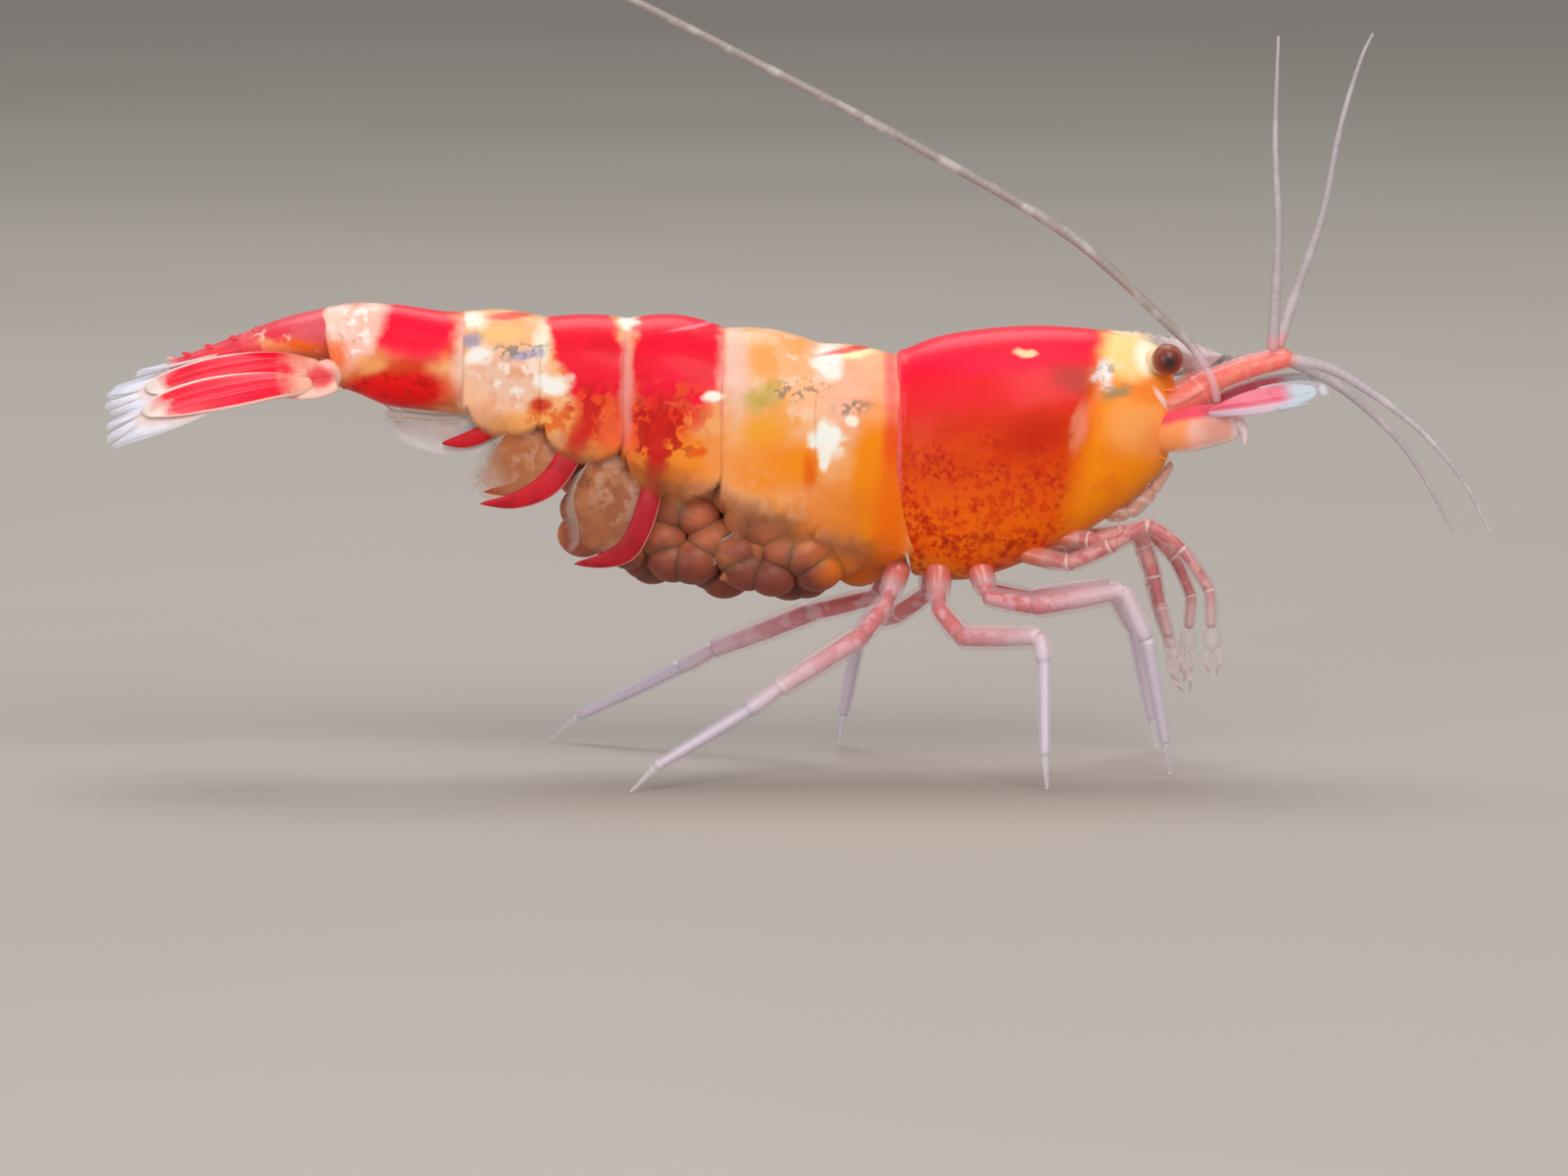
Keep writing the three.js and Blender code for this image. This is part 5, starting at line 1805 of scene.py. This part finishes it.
@dataclass(frozen=True)
class TailFan:
    """The telson, the stems and the two pairs of fins, with their long clear fringes."""

    telson: Line = (
        (-12.55, 0, 9.8), (-13.6, 0, 9.7), (-14.6, 0, 9.48), (-15.6, 0, 9.22), (-16.3, 0, 9.03),
    )
    telson_width: Shares = (0.64, 0.66, 0.6, 0.5, 0.42, 0.34, 0.24)
    telson_thick: Shares = (0.54, 0.44, 0.32, 0.22, 0.15, 0.1)
    stem: Line = ((-12.35, -0.55, 8.86), (-12.75, -0.72, 8.88), (-13.2, -0.84, 8.8))
    stem_radius: Shares = (0.34, 0.38, 0.32, 0.18)
    inner: Fin = Fin(
        "uropod_inner",
        (
            (-12.85, -0.6, 9.06), (-13.9, -0.74, 9.1), (-15.2, -0.9, 8.93), (-16.2, -0.98, 8.68),
            (-16.7, -1.0, 8.56),
        ),
        (0.2, 0.38, 0.48, 0.52, 0.5, 0.42, 0.2),
        (0, 0.8, 0.6),
        (-0.93, 0.0, -0.34),
    )
    outer: Fin = Fin(
        "uropod_outer",
        (
            (-13.0, -1.02, 8.7), (-13.9, -1.36, 8.7), (-15.2, -1.75, 8.52), (-16.2, -1.96, 8.28),
            (-16.7, -2.02, 8.12),
        ),
        (0.2, 0.36, 0.48, 0.54, 0.54, 0.46, 0.22),
        (0, 0.8, 0.6),
        (-0.82, -0.05, -0.55),
    )
    thick: Shares = (0.17, 0.14, 0.1, 0.07, 0.045)
    fringe: float = 1.0
    telson_fringe: float = 0.75
    fin_hairs: int = 420
    telson_hairs: int = 120
    locks: int = 3
    rib: float = 0.01
    rim: float = 0.014
    droop: float = 0.1
    seed: int = 11

    def spikes(self) -> list[Piece]:
        """The small movable spines in two rows on the telson's back."""
        made = []
        path = Path(self.telson, up=(0, 0, 1))
        width, thick = spread(self.telson_width), spread(self.telson_thick)
        for share, off in ((0.4, 0.55), (0.55, 0.55), (0.7, 0.55), (0.84, 0.5), (0.93, 0.4)):
            for side in Side:
                point, tangent, normal = path.at(share)
                root = point + Vector((0, side.value * off * width(share), 0)) + normal * thick(share) * 0.75
                tip = root + tangent * 0.2 + normal * 0.11
                line = Path([root, root.lerp(tip, 0.5), tip])
                made.append(tube("spike", line, spread([0.04, 0.032, 0.01]), 5, 8))
        return made

    def fringed(
        self, path: Path, across: Point, width: Profile, way: Point, count: int, reach: float
    ) -> list[Hair]:
        """Bristles round the end of a blade, drawn together in a few pointed locks.

        Args:
            path: the blade's middle line.
            across: the way it is wide.
            width: its half width.
            way: the way the bristles point.
            count: how many there are.
            reach: their length.

        Returns:
            The bristles.
        """
        rng = random.Random(self.seed)
        hairs = []
        ahead = Vector(way).normalized()
        for k in range(count):
            off = mix(-1, 1, (k + rng.random()) / count)
            share = 0.98 - 0.32 * abs(off) ** 3 - 0.06 * rng.random()
            point, tangent, wide = path.crossed(share, across)
            root = point + wide * off * width(share) * 0.9
            lock = (math.floor((off + 1) / 2 * self.locks * 0.999) + 0.5) / self.locks * 2 - 1
            target = path.at(1.0)[0] + wide * mix(off, lock, 0.72) * width(0.8) * 1.05
            length = reach * (1 - 0.25 * abs(mix(off, lock, 0.6)) ** 2) * rng.uniform(0.7, 1.0)
            tip = target + ahead * length + tangent.cross(wide) * rng.uniform(-0.06, 0.06)
            hairs.append(Hair(root, tip, 0.024, wide * 0.05 * off - ahead.cross(wide).cross(ahead) * 0.02))
        return hairs

    def fin(self, fin: Fin, side: Side) -> tuple[Piece, list[Hair]]:
        """One fin and its fringe."""
        path = Path(side.points(fin.spine))
        wide, way = side.points([fin.across, fin.way])
        width = spread(fin.width)

        def relief(share: float, off: float) -> float:
            ribs = (bell(off, -0.28, 0.09) + bell(off, 0.24, 0.09)) * smooth(1.0, 0.7, share)
            return self.rib * ribs + self.rim * (bell(off, 0.93, 0.07) + bell(off, -0.93, 0.07))

        def droop(share: float, off: float) -> float:
            return -self.droop * off * off * share

        made = blade("fin", path, wide, width, spread(self.thick), 60, 48, relief, droop)
        return made, self.fringed(path, wide, width, way, self.fin_hairs, self.fringe)

    def build(self, place: Ground) -> None:
        """Makes the whole fan."""
        fin_paint = BladeFinish(
            "tail fin", "#f20c38", "#e00830", "#fbc0a8", "#fbd4c8", "#f6e4dc", (0.8, 0.95), 0.11, 0.05, 0.85
        ).made(place)
        stem_paint = Finish.FIN_STEM.made(place)
        tuft = BristleFinish("fan bristles", "#f3ddd8", "#eeeffa", 1.0).made(place)
        hairs: list[Hair] = []

        telson_path = Path(self.telson, up=(0, 0, 1))
        telson = blade(
            "telson", telson_path, (0, 1, 0), spread(self.telson_width), spread(self.telson_thick), 60, 48,
            lambda share, off: 0.04 * bell(off, 0.0, 0.2) * smooth(1.0, 0.5, share),
        )
        place.dress("telson", [telson, *self.spikes()], Finish.TELSON.made(place), "tail_fin")
        width, back = spread(self.telson_width), (-0.97, 0, -0.24)
        hairs += self.fringed(telson_path, (0, 1, 0), width, back, self.telson_hairs, self.telson_fringe)

        for side in Side:
            line = Path(side.points(self.stem), up=(0, 0, 1))
            knuckle = tube("knuckle", line, spread(self.stem_radius), 24, 28, 0.6)
            line = Path(side.points([(-12.45, -1.0, 8.74), (-13.1, -1.16, 8.6), (-13.7, -1.24, 8.5)]))
            width, thick = spread([0.2, 0.26, 0.2, 0.05]), spread([0.1, 0.08, 0.04])
            flap = blade("flap", line, (0, 0.6, 0.8), width, thick, 24, 24)
            place.dress(f"uropod_stem_{side.label}", [knuckle, flap], stem_paint, "tail_fin")
            for fin in (self.inner, self.outer):
                made, grown = self.fin(fin, side)
                place.dress(f"{fin.name}_{side.label}", [made], fin_paint, "tail_fin")
                hairs += grown
        place.settle(bristles("fan_fringe", hairs, 3), tuft, "tail_fin")


# ---- Eggs --------------------------------------------------------------------------------------------
@dataclass(frozen=True)
class EggClutch:
    """The clutch of eggs held under the abdomen."""

    radius: float = 0.56
    step_x: float = 0.84
    step_z: float = 0.64
    rear: float = -6.7
    front: float = -1.0
    bottom: Keys = (
        (-7.3, 5.3), (-6.6, 4.65), (-5.6, 4.15), (-4.5, 4.0), (-3.4, 3.78), (-2.4, 3.72), (-1.5, 3.85),
        (-0.7, 4.3),
    )
    ceiling: Keys = ((-7.3, 7.0), (-4.6, 6.9), (-3.9, 6.6), (-0.7, 6.1))
    column: Keys = ((-7.3, 0.3), (-5, 0.6), (-3.4, 0.78), (-2.1, 0.94), (-0.7, 0.5))
    dimple: float = 0.05
    jitter: float = 0.07
    seed: int = 5

    def egg(self) -> Piece:
        """One egg, with a dimple over the embryo."""
        model = ball("egg", (0, 0, 0), 1.0, 4)
        reshaped(model, lambda spot: Vector(spot) * (1 - self.dimple * bell(spot[2], 1.0, 0.35)))
        return model

    def spots(self) -> list[Vector]:
        """The middles of the eggs, packed in rows along the belly."""
        bottom, ceiling, column = through(self.bottom), through(self.ceiling), through(self.column)
        spots: list[Vector] = []
        rows = round((self.front - self.rear) / self.step_x) + 1
        for row in range(rows):
            x = self.front - row * (self.front - self.rear) / (rows - 1)
            level = bottom(x) + self.radius
            layer = 0
            while level < ceiling(x):
                stagger = 0.24 if (row + layer) % 2 else -0.24
                side = column(x) + 0.14 - 0.3 * smooth(5.0, 6.2, level)
                lift = 0.2 if layer == 0 else 0.0
                spots.append(Vector((x + stagger, side, level + lift)))
                spots.append(Vector((x + stagger * 0.6, -side, level + lift)))
                spots.append(Vector((x - stagger, 0, level)))
                level += self.step_z
                layer += 1
        return spots

    def build(self, place: Ground) -> None:
        """Packs the eggs."""
        rng = random.Random(self.seed)
        model = self.egg()
        eggs = []
        for middle in self.spots():
            pick(model)
            bpy.ops.object.duplicate()
            egg = bpy.context.object
            egg.location = middle + Vector([rng.uniform(-self.jitter, self.jitter) for _ in range(3)])
            egg.rotation_euler = (rng.uniform(-0.4, 0.4), rng.uniform(-0.5, 0.5), rng.uniform(-0.4, 0.4))
            size = self.radius * rng.uniform(0.94, 1.04)
            egg.scale = (size * 1.06, size * 0.96, size * 0.92)
            bpy.ops.object.transform_apply(location=True, rotation=True, scale=True)
            eggs.append(egg)
        bpy.data.objects.remove(model)
        place.dress("egg_clutch", eggs, EggFinish().made(place), "egg")


# ---- Swimmerets --------------------------------------------------------------------------------------
@dataclass(frozen=True)
class Swimmeret:
    """One pair: the line of the striped blade and its widths, and those of the clear blade behind it."""

    stripe: Line
    half: Shares
    paddle: Line
    breadth: Shares
    paint: StripeFinish
    film: PaddleFinish


@dataclass(frozen=True)
class Swimmerets:
    """Five pairs of swimmerets, each a striped blade, a clear one behind it and a fringe."""

    HIDDEN: ClassVar[StripeFinish] = StripeFinish("front swimmeret", "#a8623e", "#96523a", "#b06a40")
    FILM: ClassVar[PaddleFinish] = PaddleFinish("swimmeret film", "#9a5a34", "#a86c4a", (0.5, 0.1))
    pairs: tuple[Swimmeret, ...] = (
        Swimmeret(
            ((-0.75, -1.1, 5.6), (-0.85, -1.06, 5.2), (-1.0, -1.0, 4.9), (-1.25, -0.92, 4.6)),
            (0.16, 0.22, 0.2, 0.05),
            ((-0.9, -1.0, 5.6), (-1.1, -1.0, 5.2), (-1.4, -0.95, 4.8)), (0.2, 0.3, 0.12), HIDDEN, FILM,
        ),
        Swimmeret(
            ((-2.95, -1.2, 5.35), (-3.1, -1.22, 4.95), (-3.45, -1.2, 4.6), (-3.9, -1.14, 4.35)),
            (0.16, 0.22, 0.2, 0.05),
            ((-3.1, -1.2, 5.6), (-3.4, -1.2, 5.1), (-3.8, -1.15, 4.7)), (0.24, 0.36, 0.14), HIDDEN, FILM,
        ),
        Swimmeret(
            (
                (-5.2, -0.95, 7.4), (-5.28, -1.06, 7.0), (-5.38, -1.26, 6.55), (-5.48, -1.5, 6.12),
                (-5.66, -1.6, 5.58),
                (-5.97, -1.6, 5.06), (-6.52, -1.54, 4.82), (-7.15, -1.46, 4.74),
            ),
            (0.14, 0.2, 0.23, 0.25, 0.25, 0.24, 0.15, 0.03),
            ((-5.8, -1.0, 7.3), (-6.2, -1.3, 6.4), (-6.5, -1.42, 5.65), (-6.85, -1.4, 5.1)),
            (0.5, 0.86, 0.84, 0.24),
            StripeFinish("third swimmeret", "#b01a26", "#98141c", "#d0160e"),
            PaddleFinish("third film", "#9c4c22"),
        ),
        Swimmeret(
            (
                (-6.72, -0.9, 8.2), (-6.85, -0.95, 7.9), (-7.2, -1.16, 7.24), (-7.7, -1.42, 6.54),
                (-8.45, -1.44, 6.16), (-9.25, -1.36, 6.08),
            ),
            (0.16, 0.27, 0.28, 0.26, 0.17, 0.03),
            ((-7.6, -0.95, 7.9), (-8.1, -1.2, 7.15), (-8.65, -1.28, 6.65), (-9.25, -1.26, 6.3)),
            (0.5, 0.76, 0.66, 0.16),
            StripeFinish("fourth swimmeret", "#c81a2a", "#ac1220", "#d61a14"),
            PaddleFinish("fourth film", "#b4602c"),
        ),
        Swimmeret(
            ((-8.75, -1.0, 7.82), (-9.15, -1.02, 7.62), (-9.6, -1.02, 7.46), (-10.1, -1.0, 7.4)),
            (0.08, 0.18, 0.16, 0.03),
            (
                (-8.6, -0.8, 7.9), (-9.3, -0.86, 7.62), (-10.1, -0.84, 7.52), (-10.9, -0.76, 7.68),
                (-11.42, -0.68, 7.98),
            ),
            (0.2, 0.34, 0.36, 0.3, 0.14),
            StripeFinish("fifth swimmeret", "#c81824", "#b01018", "#e06a4c", (1.2, 1.4)),
            PaddleFinish("fifth film", "#cbbcb8", "#d9d3d4", (0.6, 0.3), 0.6),
        ),
    )
    thick: Shares = (0.08, 0.08, 0.06, 0.05, 0.03)
    across: Point = (1, 0, -0.8)
    hairs: int = 110
    seed: int = 23

    def fringe(self, path: Path, across: Point, width: Profile, rng: random.Random) -> list[Hair]:
        """Fine bristles along the hind edge and tip of a blade."""
        hairs = []
        for k in range(self.hairs):
            share = mix(0.3, 1.0, (k + rng.random()) / self.hairs)
            point, tangent, wide = path.crossed(share, across)
            start = point - wide * width(share) * 0.92
            way = (tangent - wide * 0.7 * (1.1 - share)).normalized()
            sway = Vector((0, rng.uniform(-0.05, 0.05), 0))
            hairs.append(Hair(start, start + way * rng.uniform(0.25, 0.46) + sway, 0.01))
        return hairs

    def build(self, place: Ground) -> None:
        """Makes all ten."""
        rng = random.Random(self.seed)
        tuft = BristleFinish("swimmeret bristles", "#c8a898", "#d8c8c0", 0.3).made(place)
        hairs: list[Hair] = []
        for number, pair in enumerate(self.pairs, 1):
            paint, film = pair.paint.made(place), pair.film.made(place)
            for side in Side:
                stripe, paddle = Path(side.points(pair.stripe)), Path(side.points(pair.paddle))
                half, breadth = spread(pair.half), spread(pair.breadth)
                outer = blade("outer", stripe, self.across, half, spread(self.thick), 44, 32)
                x, y, z = stripe.at(0.0)[0]
                hip = Path([(x + 0.1, y * 0.5, z + 0.3), (x, y * 0.8, z), stripe.at(0.25)[0]])
                foot = tube("foot", hip, spread([0.2, 0.18, 0.1]), 12, 16, 0.8, (0.0, 0.1))
                name = f"swimmeret_{number}_{side.label}"
                place.dress(name, [outer, foot], paint, "swimmeret")
                clear = blade(
                    f"{name}_film", paddle, self.across, breadth, lambda s: 0.035, 40, 36,
                    lambda share, off: 0.012 * bell((off * 3) % 1, 0.5, 0.16),
                    lambda share, off: 0.1 * (off * off - 0.5) * math.sin(math.pi * share),
                )
                place.settle(clear, film, "swimmeret")
                hairs += self.fringe(paddle, self.across, breadth, rng)
        place.settle(bristles("swimmeret_fringe", hairs), tuft, "swimmeret")


# ---- Legs --------------------------------------------------------------------------------------------
@dataclass(frozen=True)
class Segment:
    """One length of a leg: its radius at each end."""

    near: float
    far: float


@dataclass(frozen=True)
class Legs:
    """Walking legs on the floor, claw legs held up in front and the mouth legs."""

    claws: tuple[tuple[str, Line], ...] = (
        (
            "leg_1_right",
            ((3.6, -0.6, 5.3), (4.5, -0.85, 5.2), (5.4, -1.0, 5.42), (5.75, -1.1, 4.7),
             (5.93, -1.15, 3.85), (6.15, -1.15, 3.05)),
        ),
        (
            "leg_1_left",
            ((3.6, 0.6, 5.3), (4.5, 0.85, 5.16), (5.45, 1.0, 5.2), (5.8, 1.15, 4.3), (6.0, 1.2, 3.4),
             (6.3, 1.1, 2.55)),
        ),
        (
            "leg_2_right",
            ((2.8, -0.75, 4.95), (3.9, -1.25, 4.75), (4.8, -1.55, 5.15), (5.65, -1.75, 5.62),
             (6.4, -1.86, 5.1), (7.0, -1.96, 4.2), (7.05, -1.95, 3.35)),
        ),
        (
            "leg_2_left",
            ((2.8, 0.75, 4.95), (3.8, 1.25, 4.7), (4.9, 1.7, 4.95), (5.7, 1.9, 5.15), (6.35, 2.05, 4.55),
             (6.75, 2.1, 3.65), (6.7, 2.0, 2.9)),
        ),
    )
    walking: tuple[tuple[str, Line], ...] = (
        (
            "leg_3_right",
            ((1.85, -0.75, 4.8), (2.1, -1.05, 3.95), (3.15, -1.65, 3.82), (5.1, -2.4, 4.25),
             (5.62, -2.4, 3.1), (6.05, -1.95, 0.75), (6.15, -1.6, 0.035)),
        ),
        (
            "leg_3_left",
            ((1.85, 0.75, 4.8), (2.1, 1.05, 3.9), (3.1, 1.7, 3.6), (4.95, 2.5, 3.8), (5.5, 2.75, 2.8),
             (5.92, 3.0, 0.7), (6.02, 3.05, 0.035)),
        ),
        (
            "leg_4_right",
            ((1.0, -0.75, 4.8), (0.98, -1.1, 3.72), (1.5, -1.85, 3.15), (3.22, -3.05, 3.28),
             (3.3, -3.35, 2.7), (3.3, -4.15, 0.75), (3.34, -4.4, 0.035)),
        ),
        (
            "leg_4_left",
            ((1.0, 0.75, 4.8), (0.75, 1.1, 3.8), (0.1, 1.95, 3.25), (-0.55, 3.15, 3.0), (-0.8, 3.4, 2.4),
             (-1.12, 3.9, 0.7), (-1.2, 4.05, 0.035)),
        ),
        (
            "leg_5_right",
            ((0.15, -0.7, 4.8), (-0.15, -0.95, 3.85), (-0.75, -1.7, 3.15), (-2.62, -3.0, 2.1),
             (-3.3, -3.4, 1.65), (-5.3, -4.5, 0.55), (-5.85, -4.8, 0.035)),
        ),
        (
            "leg_5_left",
            ((0.15, 0.7, 4.8), (-0.4, 1.0, 3.75), (-1.87, 1.8, 3.3), (-4.1, 3.1, 2.3), (-4.85, 3.5, 1.85),
             (-7.2, 4.6, 0.6), (-7.82, 4.9, 0.035)),
        ),
    )
    walking_segments: tuple[Segment, ...] = (
        Segment(0.3, 0.25), Segment(0.24, 0.28), Segment(0.31, 0.27), Segment(0.21, 0.24),
        Segment(0.2, 0.14), Segment(0.1, 0.03),
    )
    arm_radius: Shares = (0.23, 0.22, 0.21, 0.2, 0.17, 0.15)
    arm_pinch: float = 0.14
    jaw_leg: Line = ((4.7, -0.33, 5.75), (5.3, -0.32, 5.78), (5.84, -0.32, 6.3), (6.24, -0.32, 6.86))
    jaw_segments: tuple[Segment, ...] = (Segment(0.18, 0.18), Segment(0.17, 0.15), Segment(0.13, 0.06))
    core: float = 0.66
    flare: float = 0.05
    collar: float = 0.04
    waist: float = 0.02
    hairs: int = 16
    seed: int = 31

    def limb(
        self, points: Sequence[Point], segments: Sequence[Segment], share: float, rows: int = 16,
        columns: int = 16,
    ) -> list[Piece]:
        """The lengths of a leg, each flaring to a collar that holds the next.

        Args:
            points: its joints.
            segments: its lengths.
            share: the share of the full radius, less than 1 for what shows inside.
            rows: faces along each length.
            columns: faces round it.

        Returns:
            The lengths.
        """
        made = []
        for i, (segment, a, b) in enumerate(zip(segments, points, points[1:])):
            start, end = Vector(a), Vector(b)
            run = (end - start).normalized()
            last = i == len(segments) - 1
            start = start - run * segment.near * (0.5 if i else 0.0)
            middle = start.lerp(end, 0.5) + Vector((0, 0, -0.015 if share < 1 else 0.0))
            path = Path([start, middle, end])

            def radius(s: float, segment: Segment = segment, last: bool = last) -> float:
                size = mix(segment.near, segment.far, s) * (1 + self.flare * math.sin(math.pi * s))
                collar = 0.0 if last or share < 1 else self.collar * bell(s, 0.95, 0.05)
                waist = self.waist * bell(s, 0.03, 0.05)
                return size * share * (1 + collar - waist)

            span = (i / len(segments), (i + 1) / len(segments))
            made.append(tube("length", path, radius, rows, columns, span=span))
        return made

    def arm(self, points: Sequence[Point], share: float) -> Piece:
        """A claw leg up to its palm, narrowed a little at each joint.

        Args:
            points: its joints.
            share: the share of the full radius.

        Returns:
            The piece.
        """
        path = Path(points, 0.28)
        steps = np.cumsum([(Vector(b) - Vector(a)).length for a, b in zip(points, points[1:])])
        joints = steps[:-1] / steps[-1]
        size = spread(self.arm_radius)

        def radius(s: float) -> float:
            pinch = max(bell(s, joint, 0.014) for joint in joints) if share == 1 else 0.0
            return size(s) * share * (1 - self.arm_pinch * pinch)

        made = tube("arm", path, radius, 110, 14)
        marks = [0.0, *joints, 1.0]
        charted(made, lambda u, v: (float(np.interp(u, marks, np.linspace(0, 1, len(marks)))), v))
        return made

    def spinules(self, points: Sequence[Point], foot: bool) -> list[Hair]:
        """Small spines and bristles along the last lengths of a leg."""
        rng = random.Random(self.seed)
        hairs = []
        shank, ankle, tip = (Vector(p) for p in points[-3:])
        side = (ankle - shank).cross(Vector((0, 1, 0))).normalized()
        for k in range(self.hairs):
            start = shank.lerp(ankle, (k + 0.5) / self.hairs)
            way = (ankle - shank).normalized() * 0.8 + side * rng.choice((-1, 1)) * 0.6
            way = (way + Vector((0, rng.uniform(-0.4, 0.4), 0))).normalized()
            hairs.append(Hair(start + way * 0.1, start + way * rng.uniform(0.2, 0.3), 0.012))
        if foot:
            for k in range(5):
                start = ankle.lerp(tip, 0.2 + 0.14 * k)
                way = (tip - ankle).normalized() + side * 0.7
                hairs.append(Hair(start, start + way.normalized() * 0.14, 0.016))
        return hairs

    def claw(self, points: Sequence[Point]) -> tuple[list[Piece], list[Hair]]:
        """A palm with two fingers, and the brush of bristles on each finger's tip."""
        rng = random.Random(self.seed)
        before, end = Vector(points[-2]), Vector(points[-1])
        ahead = (end - before).normalized()
        aside = Vector((ahead.z, 0, -ahead.x)).normalized()
        made = []
        palm = Path([end + ahead * reach for reach in (-0.06, 0.22, 0.5)])
        made.append(tube("palm", palm, spread([0.15, 0.24, 0.25, 0.18]), 16, 16, 0.8, (0.9, 0.96)))
        hairs = []
        for way in (-1, 1):
            root = end + ahead * 0.42 + aside * way * 0.09
            middle = end + ahead * 0.72 + aside * way * 0.17
            tip = end + ahead * 1.0 + aside * way * 0.07
            finger = Path([root, middle, tip])
            made.append(tube("finger", finger, spread([0.12, 0.1, 0.07, 0.03]), 14, 12, 1.0, (0.95, 0.99)))
            for _ in range(self.hairs):
                share = rng.uniform(0.6, 1.0)
                point, tangent, _ = finger.at(share)
                off = Vector([rng.uniform(-1, 1) for _ in range(3)]) * 0.35
                grown = (tangent + off).normalized() * rng.uniform(0.14, 0.26)
                hairs.append(Hair(point, point + grown, 0.01))
        return made, hairs

    def build(self, place: Ground) -> None:
        """Makes every leg, with its pigment inside and its bristles."""
        clear = ClearFinish(
            "leg cuticle", "#fbe6ea", "#fdf0f6", 6, 0.24, whiteness=0.15, root="#dc4a28"
        ).made(place)
        arm = ClearFinish(
            "claw leg cuticle", "#f2ccca", "#ecc6c0", 6, 0.26, "#dcc8cc", 0.1, "#d8602c"
        ).made(place)
        flecks = CoreFinish(
            "claw leg pigment", "#c41820", "#dc908c", (0.75, 0.98), "#d4b4b8", 0.08
        ).made(place)
        core = CoreFinish("leg pigment", "#d00c18", "#e294a2", (0.36, 0.72), "#d6cede", 0.06).made(place)
        jaw = ClearFinish("mouth leg", "#dc9a78", "#ecc8b0", 3, 0.5, "#e0a890").made(place)
        tuft = BristleFinish("leg bristles", "#d8bcc4", "#e8e2ea", 0.75).made(place)
        hairs: list[Hair] = []
        for name, points in self.walking:
            place.dress(name, self.limb(points, self.walking_segments, 1.0), clear, "leg")
            inner = joined(f"{name}_core", self.limb(points, self.walking_segments[:-1], self.core, 10, 12))
            place.settle(inner, core, "leg")
            hairs += self.spinules(points, True)
        for name, points in self.claws:
            fingers, brush = self.claw(points)
            place.dress(name, [self.arm(points, 1.0), *fingers], arm, "leg")
            inner = self.arm(points, self.core)
            inner.name = f"{name}_core"
            place.settle(inner, flecks, "leg")
            hairs += brush
        for side in Side:
            points = side.points(self.jaw_leg)
            place.dress(f"maxilliped_{side.label}", self.limb(points, self.jaw_segments, 1.0), jaw, "leg")
            hairs += self.spinules(points, False)
        place.settle(bristles("leg_bristles", hairs), tuft, "leg")


# ---- Studio ------------------------------------------------------------------------------------------
@dataclass(frozen=True)
class Lamp:
    """A soft square light: where it stands, its size and its power."""

    name: str
    spot: Point
    size: float
    power: float
    colour: str = "#ffffff"


@dataclass(frozen=True)
class Studio:
    """The pale floor, the soft lights and the camera at the side of the animal."""

    aim: Point = (-2.464, 0.0, 4.048)
    elevation: float = 6.0
    distance: float = 240.0
    field_width: float = 35.2
    sensor: float = 36.0
    clip: tuple[float, float] = (0.01, 20.0)
    floor_size: float = 4.0
    sky: float = 0.4
    lamps: tuple[Lamp, ...] = (
        Lamp("key", (60, -190, 170), 150, 0.37, "#fff8f0"),
        Lamp("fill", (-120, -180, 34), 130, 0.17, "#f8f6fa"),
        Lamp("crown", (-20, 110, 190), 120, 0.2, "#ffffff"),
    )

    def build(self, place: Ground) -> None:
        """Sets the floor, lights, sky and camera."""
        self.camera(place)
        bpy.ops.object.select_all(action="DESELECT")
        bpy.ops.mesh.primitive_plane_add(size=self.floor_size, location=(0, 0, 0))
        floor = bpy.context.object
        floor.name = "floor"
        paint = Paint("floor", "#b3aca6", place, Roughness=0.75)
        paint.clouds("#ada69f", 0.02, 0.4, 0.6, 0.5)
        floor.data.materials.append(paint.material)
        middle = place.metres(self.aim)
        for lamp in self.lamps:
            spot = place.metres(lamp.spot)
            light = bpy.data.lights.new(lamp.name, "AREA")
            light.shape = "SQUARE"
            light.size = lamp.size * MM
            light.energy = lamp.power
            light.color = linear(lamp.colour)[:3]
            made = bpy.data.objects.new(lamp.name, light)
            made.location = spot
            made.rotation_euler = (middle - spot).to_track_quat("-Z", "Y").to_euler()
            bpy.context.scene.collection.objects.link(made)
        world = bpy.data.worlds.new("studio")
        world.use_nodes = True
        sky = world.node_tree.nodes["Background"]
        sky.inputs["Color"].default_value = linear("#f3f1ee")
        sky.inputs["Strength"].default_value = self.sky
        bpy.context.scene.world = world
        bpy.context.scene.view_settings.view_transform = "Standard"

    def camera(self, place: Ground) -> None:
        """Stands the camera at the animal's right side, a little above it."""
        lens = bpy.data.cameras.new("camera")
        lens.sensor_width = self.sensor
        lens.lens = self.sensor * self.distance / self.field_width
        lens.clip_start, lens.clip_end = self.clip
        camera = bpy.data.objects.new("camera", lens)
        rise = math.radians(self.elevation)
        away = Vector((0, -math.cos(rise), math.sin(rise)))
        camera.location = place.metres(self.aim) + away * self.distance * MM
        camera.rotation_euler = (-away).to_track_quat("-Z", "Y").to_euler()
        bpy.context.scene.collection.objects.link(camera)
        bpy.context.scene.camera = camera


def main() -> None:
    """Builds the animal piece by piece."""
    logging.basicConfig(level=logging.INFO, format="%(message)s")
    place = Ground.found()
    for assembly in (
        Studio(),
        HeadShell(),
        Eyes(),
        FeelerBases(),
        Feelers(),
        Abdomen(),
        LastRing(),
        TailFan(),
        EggClutch(),
        Swimmerets(),
        Legs(),
    ):
        log.info("-- %s", type(assembly).__name__)
        assembly.build(place)


if __name__ == "__main__":
    main()
